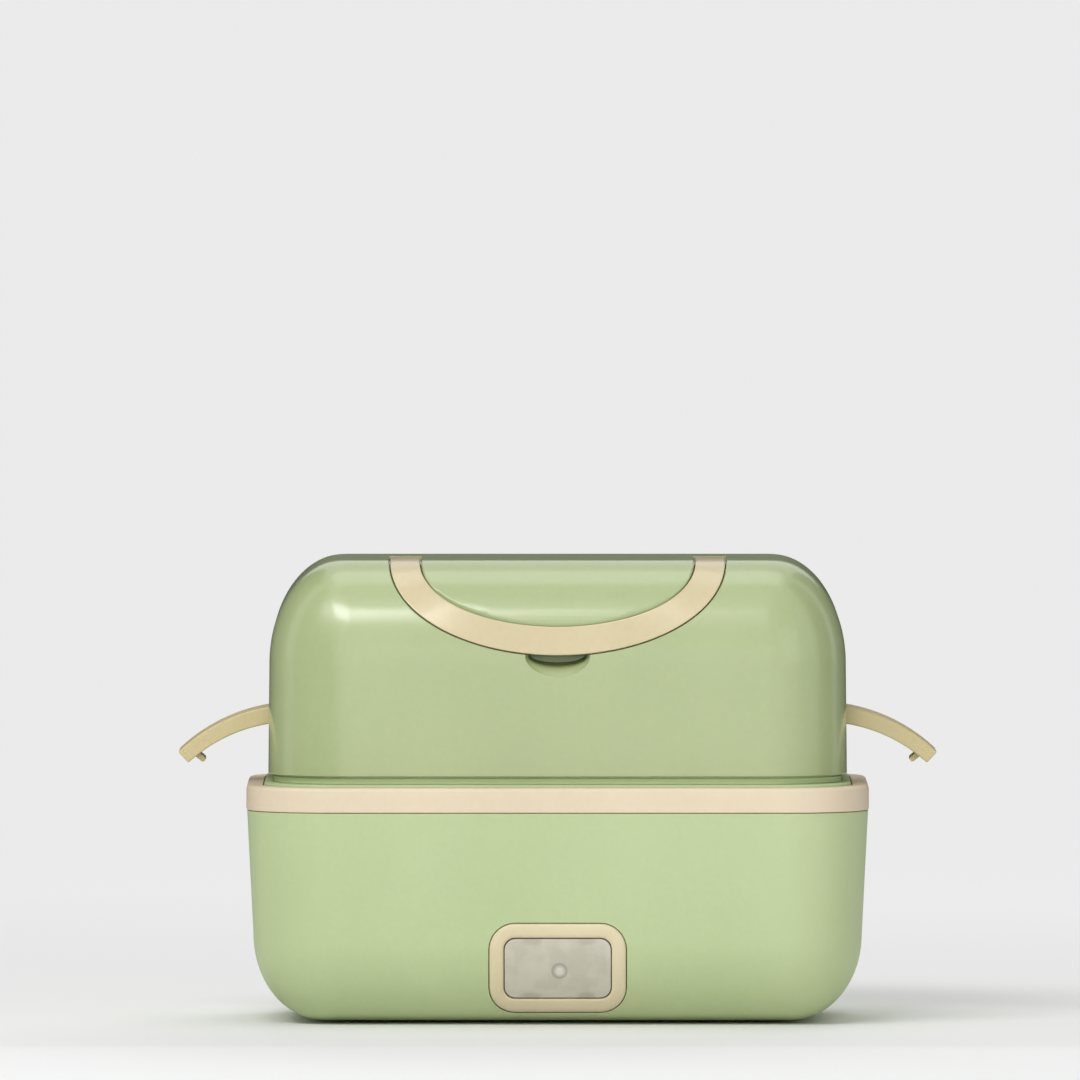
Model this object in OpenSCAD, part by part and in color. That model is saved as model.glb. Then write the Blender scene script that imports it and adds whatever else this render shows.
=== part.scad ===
// Electric lunch box with two tiers. A heated body, a lower tray with its cover, a middle tier that
// carries a two-well upper tray with its cover, and a deep lid with a folding handle and two latches.
// Millimetres, +Z up, front on -Y. The origin is under the middle of the box, on the surface it stands on.

/* [Body] */
// Width of the box over its rim
body_w = 240; // [200:1:290]
// Depth of the box over its rim
body_d = 140; // [125:1:180]
// Height of the body from its underside to the top of the rim
body_h = 90.8; // [90:0.2:120]
// Corner radius of the rim seen from above
body_r = 32; // [31:0.5:40]
// Wall of the body's outer shell
shell_wall = 2.6; // [2:0.1:3.5]
// How far the shell's side leans in before its base curve starts
shell_lean = 2.7; // [1:0.1:3]
// Width of the base curve
base_rx = 27; // [20:0.5:27]
// Height of the base curve
base_rz = 33; // [22:0.5:36]
// How far the feet stand below the shell
foot_proud = 1.2; // [0.6:0.1:3]
// Radius of a foot
foot_r = 6; // [4:0.5:9]

/* [Rim] */
// Height of the rim's outer face
rim_h = 9.5; // [8:0.5:14]
// Width of the rim's top, from its outer side to the opening
rim_ledge = 11.5; // [10.5:0.1:14]
// Depth of the step in the rim that the middle tier sits in
rebate_h = 2.5; // [1.5:0.1:3]
// Thickness of the rim's outer wall
rim_wall = 2.8; // [2.2:0.1:3.2]

/* [Heating pan] */
// Gap from the opening's edge to the pan's wall
pan_step = 1.5; // [1:0.1:3]
// Sheet thickness of the pan
pan_t = 1; // [0.8:0.1:1.5]
// Height of the compartment under the pan's floor
base_room = 33; // [31:0.2:34]

/* [Trays and covers] */
// Depth of the lower tray, from its rim to the outside of its floor
lower_tray_h = 39.5; // [25:0.5:42]
// Depth of the upper tray, from its rim to the outside of its floor
upper_tray_h = 36; // [25:0.5:38]
// Height of the upper tray's band above its step
upper_band_h = 7.6; // [6.5:0.1:9]
// Sheet thickness of both trays
tray_t = 0.8; // [0.5:0.1:1]
// Width of the land between the upper tray's two wells
land_w = 7.8; // [5:0.2:14]
// Width that a cover stands out past the tray's rim
cover_lap = 5; // [4:0.1:6]
// Rise of a cover's crown
cover_rise = 3.1; // [1:0.1:4]
// Depth of the plug under a cover
plug_h = 5.4; // [3:0.1:7]

/* [Middle tier] */
// Thickness of the flange that sits in the rim
flange_t = 3.5; // [3:0.1:4.5]
// Height of the tier from the flange's underside to the collar's top
tier_h = 23.5; // [22:0.5:30]
// Wall of the tier
tier_wall = 2.6; // [2:0.1:3]
// Distance between the ribs on the tier's front and back
rib_pitch = 42.4; // [30:0.2:44]

/* [Lid] */
// Height of the lid from its seat to its top
lid_h = 85.5; // [75:0.5:110]
// Distance from the rim's side to the lid's side
lid_in = 8.35; // [7.5:0.05:10]
// Corner radius of the lid seen from above
lid_r = 32; // [30:0.5:38]
// Wall of the lid
lid_wall = 2.5; // [2:0.1:3]
// Width of the lid's rounded shoulder
shoulder_rx = 28; // [20:0.5:29]
// Height of the lid's rounded shoulder
shoulder_rz = 40; // [36:0.5:44]

/* [Handle] */
// Distance from the lid's side to the handle's outer edge
handle_in = 47; // [40:0.5:60]
// How far the folded handle hangs below the lid's top
handle_drop = 35.8; // [30:0.2:38]
// Width of the handle's band
handle_band = 11.6; // [9:0.1:14]
// Thickness of the handle's band
handle_t = 4; // [3.4:0.1:5]

/* [Latches] */
// Width of a latch
latch_w = 32; // [24:1:38]
// Length from a latch's pivot to its tip
latch_len = 40.3; // [39:0.1:42]
// Bow radius of a latch
latch_bow = 63; // [58:1:75]
// Angle that a latch swings from open to closed
latch_swing = 39.5; // [30:0.5:60]

/* [Push button] */
// Width of the frame round the button
bezel_w = 52.7; // [48:0.1:60]
// Height of the frame round the button
bezel_h = 34.9; // [34:0.1:36]
// Width of the frame's band
bezel_band = 5.6; // [5.4:0.1:7]
// Corner radius of the frame
bezel_r = 10; // [8:0.5:12]
// Height of the button's centre above the table
button_z = 22.4; // [21.5:0.1:24]

/* [Hidden] */
$fn = 64;

green = [0.74, 0.80, 0.60];
cream = [0.88, 0.83, 0.70];
steel = [0.75, 0.75, 0.76];
frost = [0.62, 0.82, 0.76, 0.7];
rubber = [0.85, 0.86, 0.82];
dark = [0.25, 0.25, 0.26];

slip = 0.3;
touch = 0.1;
pin_play = 0.05;
seal_play = 0.05;
boss_r = 4;
curve_steps = 14;
reach_steps = 28;

shell_z = foot_proud;
rim_top = shell_z + body_h;
rim_z = rim_top - rim_h;
rim_under = 0.3;
rim_edge = 1.6;
rebate_floor = 2.5;
groove_out = rim_ledge - 4;
groove_in = rim_ledge - 2;
shell_ledge_t = 3;
base_zc = shell_z + base_rz;

bezel_proud = 0.4;
bezel_deep = 3;
button_gap = 0.35;
button_t = 1.6;
button_r = 4.9;
board_t = 1.6;
board_front = body_d / 2 - 20;
board_w = 56;
board_h = 18;
post_x = bezel_w / 2 - bezel_band / 2;
post_r = 2.5;
board_screw_r = 1.2;
board_screw_len = 7;
board_head_r = 2.6;
board_head_h = 1.8;
led = [3.5, 1.4, 2.8];
led_x = 11;
stop_x = 10;
stop_w = 6;
stop_h = 1.2;
stem_r = 3.3;
plunger_r = 1.6;
switch_size = 6;
switch_deep = 3.5;
plunger_out = 1.3;

pan_floor = shell_z + base_room;
pan_in = rim_ledge + pan_step;
pan_draft = 2;
pan_r = body_r - pan_in;
pan_curve = 7;
pan_flange_w = 6;
pan_flange_z = rim_z + 0.5;
gasket_h = 1.2;
lip_z = pan_flange_z + pan_t + gasket_h;
lip_t = 2.2;

flange_in = rim_ledge - 4.7;
flange_w = 13;
rebate_in = flange_in - 0.5;
tier_z = rim_top - rebate_h;
tier_wall_in = flange_in + 9.3;
tier_lean = 0.6;
shoulder_drop = 5.3;
shoulder_r = 2.6;
collar_in = tier_wall_in + 4.05;
collar_t = 2.5;
tier_r = body_r - flange_in;
tier_wall_r = 24;
ledge_drop = 3.5;
ledge_t = 2.2;
panel_cut = 0.9;
rib_w = 3.2;
rib_top_w = 1.6;
rib_sink = 0.5;

cover_in = collar_in - 1.9;
cover_r = 24;
tray_in = cover_in + cover_lap;
tray_r = cover_r - cover_lap;
tray_wall_in = tray_in + 4.05;
tray_foot_in = tray_wall_in + 2.9;
tray_curve = 7;
lower_tray_z = pan_floor + pan_t;
lower_rim_z = lower_tray_z + lower_tray_h;
ledge_z = tier_z + tier_h - ledge_drop;
upper_rim_z = ledge_z + upper_band_h;
upper_tray_z = upper_rim_z - upper_tray_h;
ledge_in = tray_foot_in - 0.8;

lid_seat = tier_z + flange_t;
lid_top = lid_seat + lid_h;
lid_z = lid_seat + 3;
lid_w = body_w - 2 * lid_in;
lid_d = body_d - 2 * lid_in;
lid_lean = 0.45;
shoulder_zc = lid_top - shoulder_rz;
frame_in = 2.15;
frame_lip_w = 4.3;
frame_play = 0.35;
frame_t = 2.2;
frame_lip_h = 2.3;
frame_ring_h = 11;
seal_in = frame_in + 1.4;
seal_w = 1.6;
seal_h = 1.4;

handle_a = lid_w / 2 - handle_in;
handle_gap = 0.4;
hub_r = 3.2;
hinge_z = lid_top - hub_r;
hinge_pin_r = 1.5;
hinge_wall = 5;
hinge_back = 6;
hinge_front = 5;
hinge_under = 5;
hinge_over = 2;
seat_inside = 9;
seat_back = 6.5;
seat_wall = 2.2;
notch_w = 25;
notch_drop = 7.8;
notch_deep = 9;
notch_up = 3.5;

pivot_x = lid_w / 2 - 3.65;
pivot_z = lid_seat + 25;
latch_pin_r = 1.5;
latch_hub_r = 3.3;
latch_root_t = 7;
latch_tip_t = 5.4;
latch_plate = 2;
latch_tip = 2.5;
pocket_above = 4.2;
pocket_below = 5;
pocket_skirt = 11;
pocket_lip = 2.2;
pocket_play = 0.5;
latch_closed = 63.5;
latch_half = asin(latch_len / 2 / latch_bow);
latch_cx = pivot_x - latch_bow * sin(latch_closed - latch_half);
latch_cz = pivot_z - latch_bow * cos(latch_closed - latch_half);
latch_a0 = 90 - latch_closed + latch_half;
latch_a1 = 90 - latch_closed - latch_half;
catch_z = rim_z + 3.5;
catch_t = 2;
catch_bite = 1.5;
catch_w = 20;
catch_slack = 1;
catch_under = 0.6;
catch_over = 1.2;

heater_w = 90;
heater_d = 40;
heater_h = 7;
stone_slot_w = 16;
stone_slot_h = 3;
stone_w = 32;
stone_x = 22;
stud_x = heater_w / 2 + 6;
stud_r = 2;
stud_end = 2;
strap_t = 1.5;
strap_d = 14;
strap_r = 4;
strap_end = 6;
nut_h = 3.2;
nut_r = 4;
thermostat_x = -heater_w / 2 - 27;

cover_t = 2;
hatch_w = body_w - 72;
hatch_d = body_d - 72;
hatch_r = 6;
hatch_lap = 9;
hatch_seat = 2;
hatch_window_r = 3;
hatch_screw_x = hatch_w / 2 - 4.5;
hatch_screw_y = hatch_d / 2 - 4.5;
hatch_screw_r = 1.25;
hatch_screw_len = 10;
hatch_head_r = 2.9;
hatch_head_h = 1.5;
head_play = 0.3;
foot_x = hatch_w / 2 - 22;
foot_y = hatch_d / 2 - 13;
foot_sink = 0.4;
foot_edge = 0.5;

inlet_z = shell_z + 19;
inlet_w = 28;
inlet_h = 16;
inlet_r = 4;
inlet_deep = 22;
inlet_face = body_d / 2 - 9.5;
socket_pitch = 8.6;
socket_r = 4.1;
socket_deep = 12;
inlet_pin_r = 1.2;
inlet_pin_len = 10;

liner_z = lid_top - 22.5;
liner_t = 2;
liner_skirt = 6;
liner_wall = 2;
liner_head_r = 2.8;
liner_head_h = 2;
liner_screw_len = 13;
liner_in = 16.5;
liner_r = 20;
liner_screw_x = lid_w / 2 - 41;
liner_screw_y = lid_d / 2 - 37;

wire_r = 1.2;
wire_sides = 8;
mains_route = [[4.4, 37, 20.2], [4.8, 33, 18.6], [7, 26, 12], [8, 18, 9], [8, 4, 8.5], [8, -12, 8.5],
    [8, -26, 9], [8, -36, 10.5], [7, -43, 13], [6, -48.4, 15]];
heater_route = [[30, -20, pan_floor - 4], [30, -24, pan_floor - 5], [28, -29, 24], [24, -35, 18.5], [19, -41, 17],
    [15, -45, 17.5], [13, -48.4, 18.5]];
sensor_route = [[-66, -3, pan_floor - 7], [-64, -7, 22], [-59, -13, 17], [-50, -23, 13.5], [-38, -32, 13],
    [-27, -40, 14], [-20, -45, 16], [-17, -48.4, 18.5]];

// Points of an ellipse's arc
function arc(cx, cz, rx, rz, a0, a1, n = curve_steps) =
    [for (i = [0 : n]) let (a = a0 + (a1 - a0) * i / n) [cx + rx * cos(a), cz + rz * sin(a)]];

function reversed(list) = [for (i = [len(list) - 1 : -1 : 0]) list[i]];

// Outline of the shell's side, as distance from the corner's centre and height, moved in by inset
function body_curve(inset) = concat(
    [[body_r - rim_under - inset, rim_z]],
    arc(body_r - shell_lean - base_rx, base_zc, base_rx - inset, base_rz - inset, 0, -90));

// Outline of the lid's side and shoulder up to its flat top, moved in by inset
function lid_curve(inset) = concat(
    [[lid_r - inset, lid_z]],
    arc(lid_r - lid_lean - shoulder_rx, shoulder_zc, shoulder_rx - inset, shoulder_rz - inset, 0, 90),
    [[0, lid_top - inset]]);

// Distance from the lid's middle to its front at a height on the shoulder
function lid_front_y(z) = lid_d / 2 - lid_lean - shoulder_rx
    + shoulder_rx * sqrt(1 - pow((z - shoulder_zc) / shoulder_rz, 2));

// Inner edge of the folded handle's face as distance from the hinge line and place across, less a gap
function handle_reach(gap) = [for (i = [0 : reach_steps]) let (
    t = 180 * i / reach_steps - 90,
    z = lid_top - (handle_drop - handle_band) * cos(t))
    [norm([lid_front_y(z), hinge_z - z]) - gap, (handle_a - handle_band - gap) * sin(t)]];

module rounded(w, d, r) {
    square([w - 2 * r, d], center = true);
    square([w, d - 2 * r], center = true);
    for (x = [-1, 1], y = [-1, 1])
        translate([x * (w / 2 - r), y * (d / 2 - r)])
            circle(r);
}

module slab(w, d, r, z0, z1) {
    translate([0, 0, z0])
        linear_extrude(z1 - z0)
            rounded(w, d, r);
}

// Frame between two rounded outlines, both given as distances in from a rounded rectangle
module ring(w, d, r, out, in, z0, z1) {
    difference() {
        slab(w - 2 * out, d - 2 * out, r - out, z0, z1);
        slab(w - 2 * in, d - 2 * in, r - in, z0 - 1, z1 + 1);
    }
}

// Wall that runs round a rounded rectangle. The profile's x runs outwards from the corner's centre
module around(w, d, r) {
    cx = w / 2 - r;
    cy = d / 2 - r;
    for (a = [0, 180])
        rotate(a) {
            translate([cx, 0, 0])
                rotate([90, 0, 0])
                    linear_extrude(2 * cy, center = true)
                        children();
            rotate(90)
                translate([cy, 0, 0])
                    rotate([90, 0, 0])
                        linear_extrude(2 * cx, center = true)
                            children();
            translate([cx, cy, 0])
                rotate_extrude(angle = 90)
                    children();
            translate([cx, -cy, 0])
                rotate(-90)
                    rotate_extrude(angle = 90)
                        children();
        }
}

// Flat floor inside the corner centres of a wall made by around
module infill(w, d, r, z0, z1) {
    translate([r - w / 2, r - d / 2, z0])
        cube([w - 2 * r, d - 2 * r, z1 - z0]);
}

// Rounded bar that points out through the front
module through_front(w, h, r, z) {
    translate([0, 0, z])
        rotate([90, 0, 0])
            linear_extrude(body_d)
                rounded(w, h, r);
}

// Slice of the body's front wall between two insets
module front_wall(d0, d1, w) {
    rotate(270)
        translate([body_d / 2 - body_r, 0, 0])
            rotate([90, 0, 0])
                linear_extrude(w, center = true)
                    polygon(concat(body_curve(d0), reversed(body_curve(d1))));
}

// Slice of the lid's front and top between two insets, running back past the hinge line
module lid_front(d0, d1, back) {
    rear = lid_r - lid_d / 2 - back;
    rotate(270)
        translate([lid_d / 2 - lid_r, 0, 0])
            rotate([90, 0, 0])
                linear_extrude(2 * handle_a + 20, center = true)
                    polygon(concat(lid_curve(d0), [[rear, lid_top - d0], [rear, lid_top - d1]],
                        reversed(lid_curve(d1))));
}

// Half oval that hangs from the lid's top, seen from the front and grown by grow
module hanging_oval(a, b, grow) {
    translate([0, lid_d / 2, lid_top])
        rotate([90, 0, 0])
            linear_extrude(lid_d + 20)
                polygon(concat(arc(0, 0, a + grow, b + grow, 180, 360, 44),
                    [[a + grow, 10], [-a - grow, 10]]));
}

// Tube along a list of points
module tube(points, r) {
    n = wire_sides;
    last = len(points) - 1;
    rings = [for (i = [0 : last]) let (
        t = points[min(i + 1, last)] - points[max(i - 1, 0)],
        side = cross(t, [0, 0, 1]) / norm(cross(t, [0, 0, 1])),
        up = cross(side, t) / norm(t))
        for (k = [0 : n - 1]) points[i] + r * (cos(360 * k / n) * side + sin(360 * k / n) * up)];
    faces = concat(
        [[for (k = [0 : n - 1]) k]],
        [[for (k = [n - 1 : -1 : 0]) last * n + k]],
        [for (i = [0 : last - 1], k = [0 : n - 1]) let (
            j = (k + 1) % n)
            each [[i * n + k, (i + 1) * n + k, (i + 1) * n + j], [i * n + k, (i + 1) * n + j, i * n + j]]]);
    polyhedron(rings, faces);
}

// Countersunk or pan head screw standing on its head
module screw(r, head_r, head_h, length, sunk) {
    if (sunk)
        cylinder(r1 = head_r, r2 = r, h = head_h);
    else
        cylinder(r = head_r, h = head_h);
    translate([0, 0, head_h])
        cylinder(r = r, h = length - head_h);
}

module hatch_places() {
    for (x = [-1, 1], y = [-1, 1])
        translate([x * hatch_screw_x, y * hatch_screw_y, shell_z])
            children();
}

module board_posts() {
    for (x = [-1, 1])
        translate([x * post_x, -board_front, button_z])
            rotate([90, 0, 0])
                children();
}

module body_shell() {
    flat_w = body_w - 2 * (shell_lean + base_rx);
    flat_d = body_d - 2 * (shell_lean + base_rx);
    flat_r = body_r - shell_lean - base_rx;
    ledge_top = shell_z + cover_t + touch;
    color(green)
        difference() {
            union() {
                around(body_w, body_d, body_r)
                    polygon(concat(body_curve(0), reversed(body_curve(shell_wall))));
                slab(flat_w, flat_d, flat_r, shell_z, shell_z + shell_wall);
                slab(hatch_w + 2 * hatch_seat, hatch_d + 2 * hatch_seat, hatch_r + hatch_seat,
                    shell_z + shell_wall / 2, ledge_top + shell_wall);
                ring(body_w, body_d, body_r, rim_under + shell_wall / 2, groove_in, rim_z - shell_ledge_t, rim_z);
                ring(body_w, body_d, body_r, rim_under + rim_wall, groove_in, rim_z - 1, pan_flange_z);
                hatch_places()
                    translate([0, 0, cover_t + shell_wall])
                        cylinder(r = boss_r, h = hatch_screw_len - 1);
            }
            slab(hatch_w + 2 * slip, hatch_d + 2 * slip, hatch_r + slip, shell_z - 1, ledge_top);
            slab(hatch_w - 2 * hatch_lap, hatch_d - 2 * hatch_lap, hatch_window_r, shell_z,
                ledge_top + shell_wall + 1);
            through_front(bezel_w + 2 * slip, bezel_h + 2 * slip, bezel_r + slip, button_z);
            rotate(180)
                through_front(inlet_w + 2 * slip, inlet_h + 2 * slip, inlet_r + slip, inlet_z);
            hatch_places()
                cylinder(r = hatch_screw_r + pin_play, h = hatch_screw_len + 1);
        }
}

module body_rim() {
    x0 = body_r - rim_ledge;
    floor_z = rim_top - rebate_h;
    color(cream)
        difference() {
            around(body_w, body_d, body_r)
                polygon(concat(
                    [[body_r - rim_wall, rim_z], [body_r, rim_z]],
                    arc(body_r - rim_edge, rim_top - rim_edge, rim_edge, rim_edge, 0, 90, 4),
                    [[body_r - rebate_in, rim_top], [body_r - rebate_in, floor_z], [x0, floor_z],
                        [x0, lip_z], [x0 + lip_t, lip_z], [x0 + lip_t, floor_z - rebate_floor],
                        [body_r - rim_wall, floor_z - rebate_floor]]));
            ring(body_w, body_d, body_r, groove_out, groove_in, floor_z - gasket_h, floor_z + 1);
            translate([-body_w / 2 - 1, -catch_w / 2 - catch_slack, catch_z - catch_t / 2 - catch_under])
                cube([body_w + 2, catch_w + 2 * catch_slack, catch_under + catch_t + catch_over]);
        }
    // The catch slots go through the outer wall only, so the inner lip is put back behind them
    color(cream)
        for (x = [-1, 1])
            translate([x * (body_w / 2 - rim_ledge + lip_t / 2), 0, 0])
                translate([-lip_t / 2, -catch_w / 2 - catch_slack, lip_z])
                    cube([lip_t, catch_w + 2 * catch_slack, floor_z - rebate_floor - lip_z + 0.5]);
}

module rim_seal() {
    floor_z = rim_top - rebate_h;
    color(rubber)
        ring(body_w, body_d, body_r, groove_out + seal_play, groove_in - seal_play, floor_z - gasket_h,
            floor_z);
}

module heating_pan() {
    w = body_w - 2 * pan_in;
    d = body_d - 2 * pan_in;
    r = pan_r;
    foot = r - pan_draft;
    zc = pan_floor + pan_curve;
    color(steel) {
        around(w, d, r)
            polygon(concat(
                [[r + pan_flange_w, pan_flange_z], [r + pan_flange_w, pan_flange_z + pan_t],
                    [r - pan_t, pan_flange_z + pan_t]],
                arc(foot - pan_curve, zc, pan_curve - pan_t, pan_curve - pan_t, 0, -90, 5),
                [[0, pan_floor + pan_t], [0, pan_floor]],
                arc(foot - pan_curve, zc, pan_curve, pan_curve, -90, 0, 5),
                [[r, pan_flange_z]]));
        infill(w, d, r, pan_floor, pan_floor + pan_t);
        for (x = [-stud_x, stud_x])
            translate([x, 0, pan_floor - heater_h - strap_t - nut_h - stud_end])
                cylinder(r = stud_r, h = heater_h + strap_t + nut_h + stud_end + pan_t / 2);
    }
}

module pan_gasket() {
    z = pan_flange_z + pan_t;
    color(rubber)
        ring(body_w, body_d, body_r, pan_in - pan_flange_w, pan_in - 0.2, z, z + gasket_h);
}

module heater_plate() {
    color([0.78, 0.79, 0.80])
        difference() {
            translate([-heater_w / 2, -heater_d / 2, pan_floor - heater_h])
                cube([heater_w, heater_d, heater_h]);
            translate([-heater_w / 2 - 1, -stone_slot_w / 2, pan_floor - heater_h / 2 - stone_slot_h / 2])
                cube([heater_w + 2, stone_slot_w, stone_slot_h]);
        }
}

module ptc_stones() {
    stone = [stone_w, stone_slot_w - 2 * slip, stone_slot_h];
    color([0.32, 0.30, 0.29])
        for (x = [-1, 1])
            translate([x * stone_x - stone[0] / 2, -stone[1] / 2, pan_floor - heater_h / 2 - stone[2] / 2])
                cube(stone);
}

module heater_clamp() {
    z = pan_floor - heater_h - strap_t;
    length = 2 * (stud_x + strap_end);
    color([0.68, 0.68, 0.66])
        difference() {
            translate([0, 0, z])
                linear_extrude(strap_t)
                    rounded(length, strap_d, strap_r);
            for (x = [-stud_x, stud_x])
                translate([x, 0, z - 1])
                    cylinder(r = stud_r + 0.2, h = strap_t + 2);
        }
}

module clamp_nuts() {
    color([0.7, 0.68, 0.6])
        for (x = [-stud_x, stud_x])
            translate([x, 0, pan_floor - heater_h - strap_t - nut_h])
                difference() {
                    cylinder(r = nut_r, h = nut_h, $fn = 6);
                    translate([0, 0, -1])
                        cylinder(r = stud_r + pin_play, h = nut_h + 2);
                }
}

module thermostat() {
    can_r = 8;
    can_h = 5;
    base_h = 3;
    blade = [4, 0.8, 5];
    blade_y = 4;
    color([0.55, 0.55, 0.56])
        translate([thermostat_x, 0, pan_floor - can_h]) {
            cylinder(r = can_r, h = can_h);
            translate([0, 0, -base_h])
                cylinder(r = can_r - 1.5, h = base_h + 0.5);
            for (y = [-blade_y, blade_y])
                translate([-blade[0] / 2, y - blade[1] / 2, 0.5 - base_h - blade[2]])
                    cube(blade);
        }
}

module thermal_fuse() {
    fuse_r = 2;
    length = 26;
    lead_r = 0.5;
    lead_len = 6;
    color([0.85, 0.80, 0.62])
        translate([-length / 2, heater_d / 2 + fuse_r, pan_floor - heater_h / 2])
            rotate([0, 90, 0]) {
                cylinder(r = fuse_r, h = length);
                translate([0, 0, -lead_len])
                    cylinder(r = lead_r, h = length + 2 * lead_len);
            }
}

module circuit_board() {
    color([0.20, 0.42, 0.28])
        difference() {
            translate([-board_w / 2, -board_front, button_z - board_h / 2])
                cube([board_w, board_t, board_h]);
            board_posts()
                translate([0, 0, -board_t - 1])
                    cylinder(r = board_screw_r + 0.3, h = board_t + 2);
        }
}

module tact_switch() {
    color(dark)
        difference() {
            translate([-switch_size / 2, -board_front - switch_deep, button_z - switch_size / 2])
                cube([switch_size, switch_deep, switch_size]);
            translate([0, -board_front - switch_deep - 1, button_z])
                rotate([-90, 0, 0])
                    cylinder(r = plunger_r + 0.2, h = switch_deep + 0.6);
        }
}

module indicator_leds() {
    color([0.95, 0.95, 0.85])
        for (x = [-led_x, led_x])
            translate([x - led[0] / 2, -board_front - led[1], button_z - led[2] / 2])
                cube(led);
}

module board_screws() {
    color(steel)
        board_posts()
            translate([0, 0, -board_t - board_head_h])
                screw(board_screw_r, board_head_r, board_head_h, board_screw_len, false);
}

module switch_bezel() {
    color(cream)
        difference() {
            union() {
                intersection() {
                    front_wall(-bezel_proud, bezel_deep, bezel_w + 4);
                    through_front(bezel_w, bezel_h, bezel_r, button_z);
                }
                intersection() {
                    board_posts()
                        cylinder(r = post_r, h = 20);
                    front_wall(1, body_d / 2, bezel_w + 4);
                }
            }
            through_front(bezel_w - 2 * bezel_band, bezel_h - 2 * bezel_band, button_r, button_z);
            board_posts()
                translate([0, 0, -1])
                    cylinder(r = board_screw_r + pin_play, h = board_screw_len);
        }
}

module button_cap() {
    w = bezel_w - 2 * bezel_band - 2 * button_gap;
    h = bezel_h - 2 * bezel_band - 2 * button_gap;
    plunger_tip = board_front + switch_deep + plunger_out;
    color([0.80, 0.78, 0.70, 0.8]) {
        intersection() {
            front_wall(0, button_t, bezel_w);
            through_front(w, h, button_r - button_gap, button_z);
        }
        intersection() {
            translate([0, -plunger_tip, button_z])
                rotate([90, 0, 0])
                    cylinder(r = stem_r, h = 20);
            front_wall(button_t / 2, body_d / 2, bezel_w);
        }
        for (x = [-stop_x, stop_x], s = [-1, 1])
            intersection() {
                translate([x - stop_w / 2, -body_d / 2, button_z + s * (h / 2 - 1.1) - stop_h / 2])
                    cube([stop_w, body_d / 2, stop_h]);
                front_wall(button_t / 2, 5, bezel_w);
            }
    }
}

module switch_plunger() {
    color([0.9, 0.9, 0.88])
        translate([0, -board_front - switch_deep - plunger_out, button_z])
            rotate([-90, 0, 0])
                cylinder(r = plunger_r, h = plunger_out + 1.1);
}

module inlet_socket() {
    color(dark)
        difference() {
            union() {
                rotate(180)
                    intersection() {
                        front_wall(0, 9, inlet_w);
                        through_front(inlet_w, inlet_h, inlet_r, inlet_z);
                    }
                translate([-inlet_w / 2 + 2, inlet_face - inlet_deep, inlet_z - inlet_h / 2 + 1])
                    cube([inlet_w - 4, inlet_deep, inlet_h - 2]);
            }
            translate([0, body_d / 2 + 1, inlet_z])
                rotate([90, 0, 0])
                    linear_extrude(body_d / 2 + 1 - inlet_face + socket_deep) {
                        square([socket_pitch, 2 * socket_r], center = true);
                        for (x = [-1, 1])
                            translate([x * socket_pitch / 2, 0])
                                circle(socket_r);
                    }
            for (x = [-1, 1])
                translate([x * socket_pitch / 2, inlet_face + 1, inlet_z])
                    rotate([90, 0, 0])
                        cylinder(r = inlet_pin_r, h = inlet_deep + 5);
        }
}

module inlet_pins() {
    color([0.80, 0.72, 0.45])
        for (x = [-1, 1])
            translate([x * socket_pitch / 2, inlet_face - socket_deep + inlet_pin_len, inlet_z])
                rotate([90, 0, 0])
                    cylinder(r = inlet_pin_r, h = inlet_deep + 2 - socket_deep + inlet_pin_len);
}

module mains_wires() {
    color([0.75, 0.2, 0.15])
        tube(mains_route, wire_r);
    color([0.15, 0.3, 0.7])
        mirror([1, 0, 0])
            tube(mains_route, wire_r);
}

module heater_wires() {
    color([0.9, 0.9, 0.88]) {
        tube(heater_route, wire_r);
        mirror([1, 0, 0])
            tube(heater_route, wire_r);
        tube(sensor_route, wire_r);
    }
}

module bottom_cover() {
    color(green)
        difference() {
            slab(hatch_w, hatch_d, hatch_r, shell_z, shell_z + cover_t);
            hatch_places() {
                translate([0, 0, -1])
                    cylinder(r = hatch_screw_r + head_play, h = cover_t + 2);
                translate([0, 0, -0.01])
                    cylinder(r1 = hatch_head_r + head_play, r2 = hatch_screw_r + 0.2, h = hatch_head_h + head_play);
            }
            for (x = [-1, 1], y = [-1, 1])
                translate([x * foot_x, y * foot_y, shell_z - 1])
                    cylinder(r = foot_r + 0.2, h = 1 + foot_sink);
        }
}

module cover_screws() {
    color(steel)
        hatch_places()
            translate([0, 0, 0.1])
                screw(hatch_screw_r, hatch_head_r, hatch_head_h, hatch_screw_len, true);
}

module feet() {
    color(dark)
        for (x = [-1, 1], y = [-1, 1])
            translate([x * foot_x, y * foot_y, 0]) {
                cylinder(r1 = foot_r - foot_edge, r2 = foot_r, h = foot_edge);
                translate([0, 0, foot_edge])
                    cylinder(r = foot_r, h = foot_proud + foot_sink - foot_edge);
            }
}

// Rim bead and flange that both trays have, closed below by their walls
function tray_rim(z) = [
    [tray_r - 4.05, z - 2.3], [tray_r, z - 2.8], [tray_r, z - 2.8 + tray_t], [tray_r - 2.9, z - 1.5],
    [tray_r - 3.4, z - 0.2], [tray_r - 3.7, z], [tray_r - 4.5, z], [tray_r - 4.05 - tray_t, z - 0.7]];

module lower_tray() {
    w = body_w - 2 * tray_in;
    d = body_d - 2 * tray_in;
    foot = tray_r - tray_foot_in + tray_in;
    zc = lower_tray_z + tray_curve;
    color(steel) {
        around(w, d, tray_r)
            polygon(concat(
                tray_rim(lower_rim_z),
                arc(foot - tray_curve, zc, tray_curve - tray_t, tray_curve - tray_t, 0, -90, 6),
                [[0, lower_tray_z + tray_t], [0, lower_tray_z]],
                arc(foot - tray_curve, zc, tray_curve, tray_curve, -90, 0, 6)));
        infill(w, d, tray_r, lower_tray_z, lower_tray_z + tray_t);
    }
}

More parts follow.
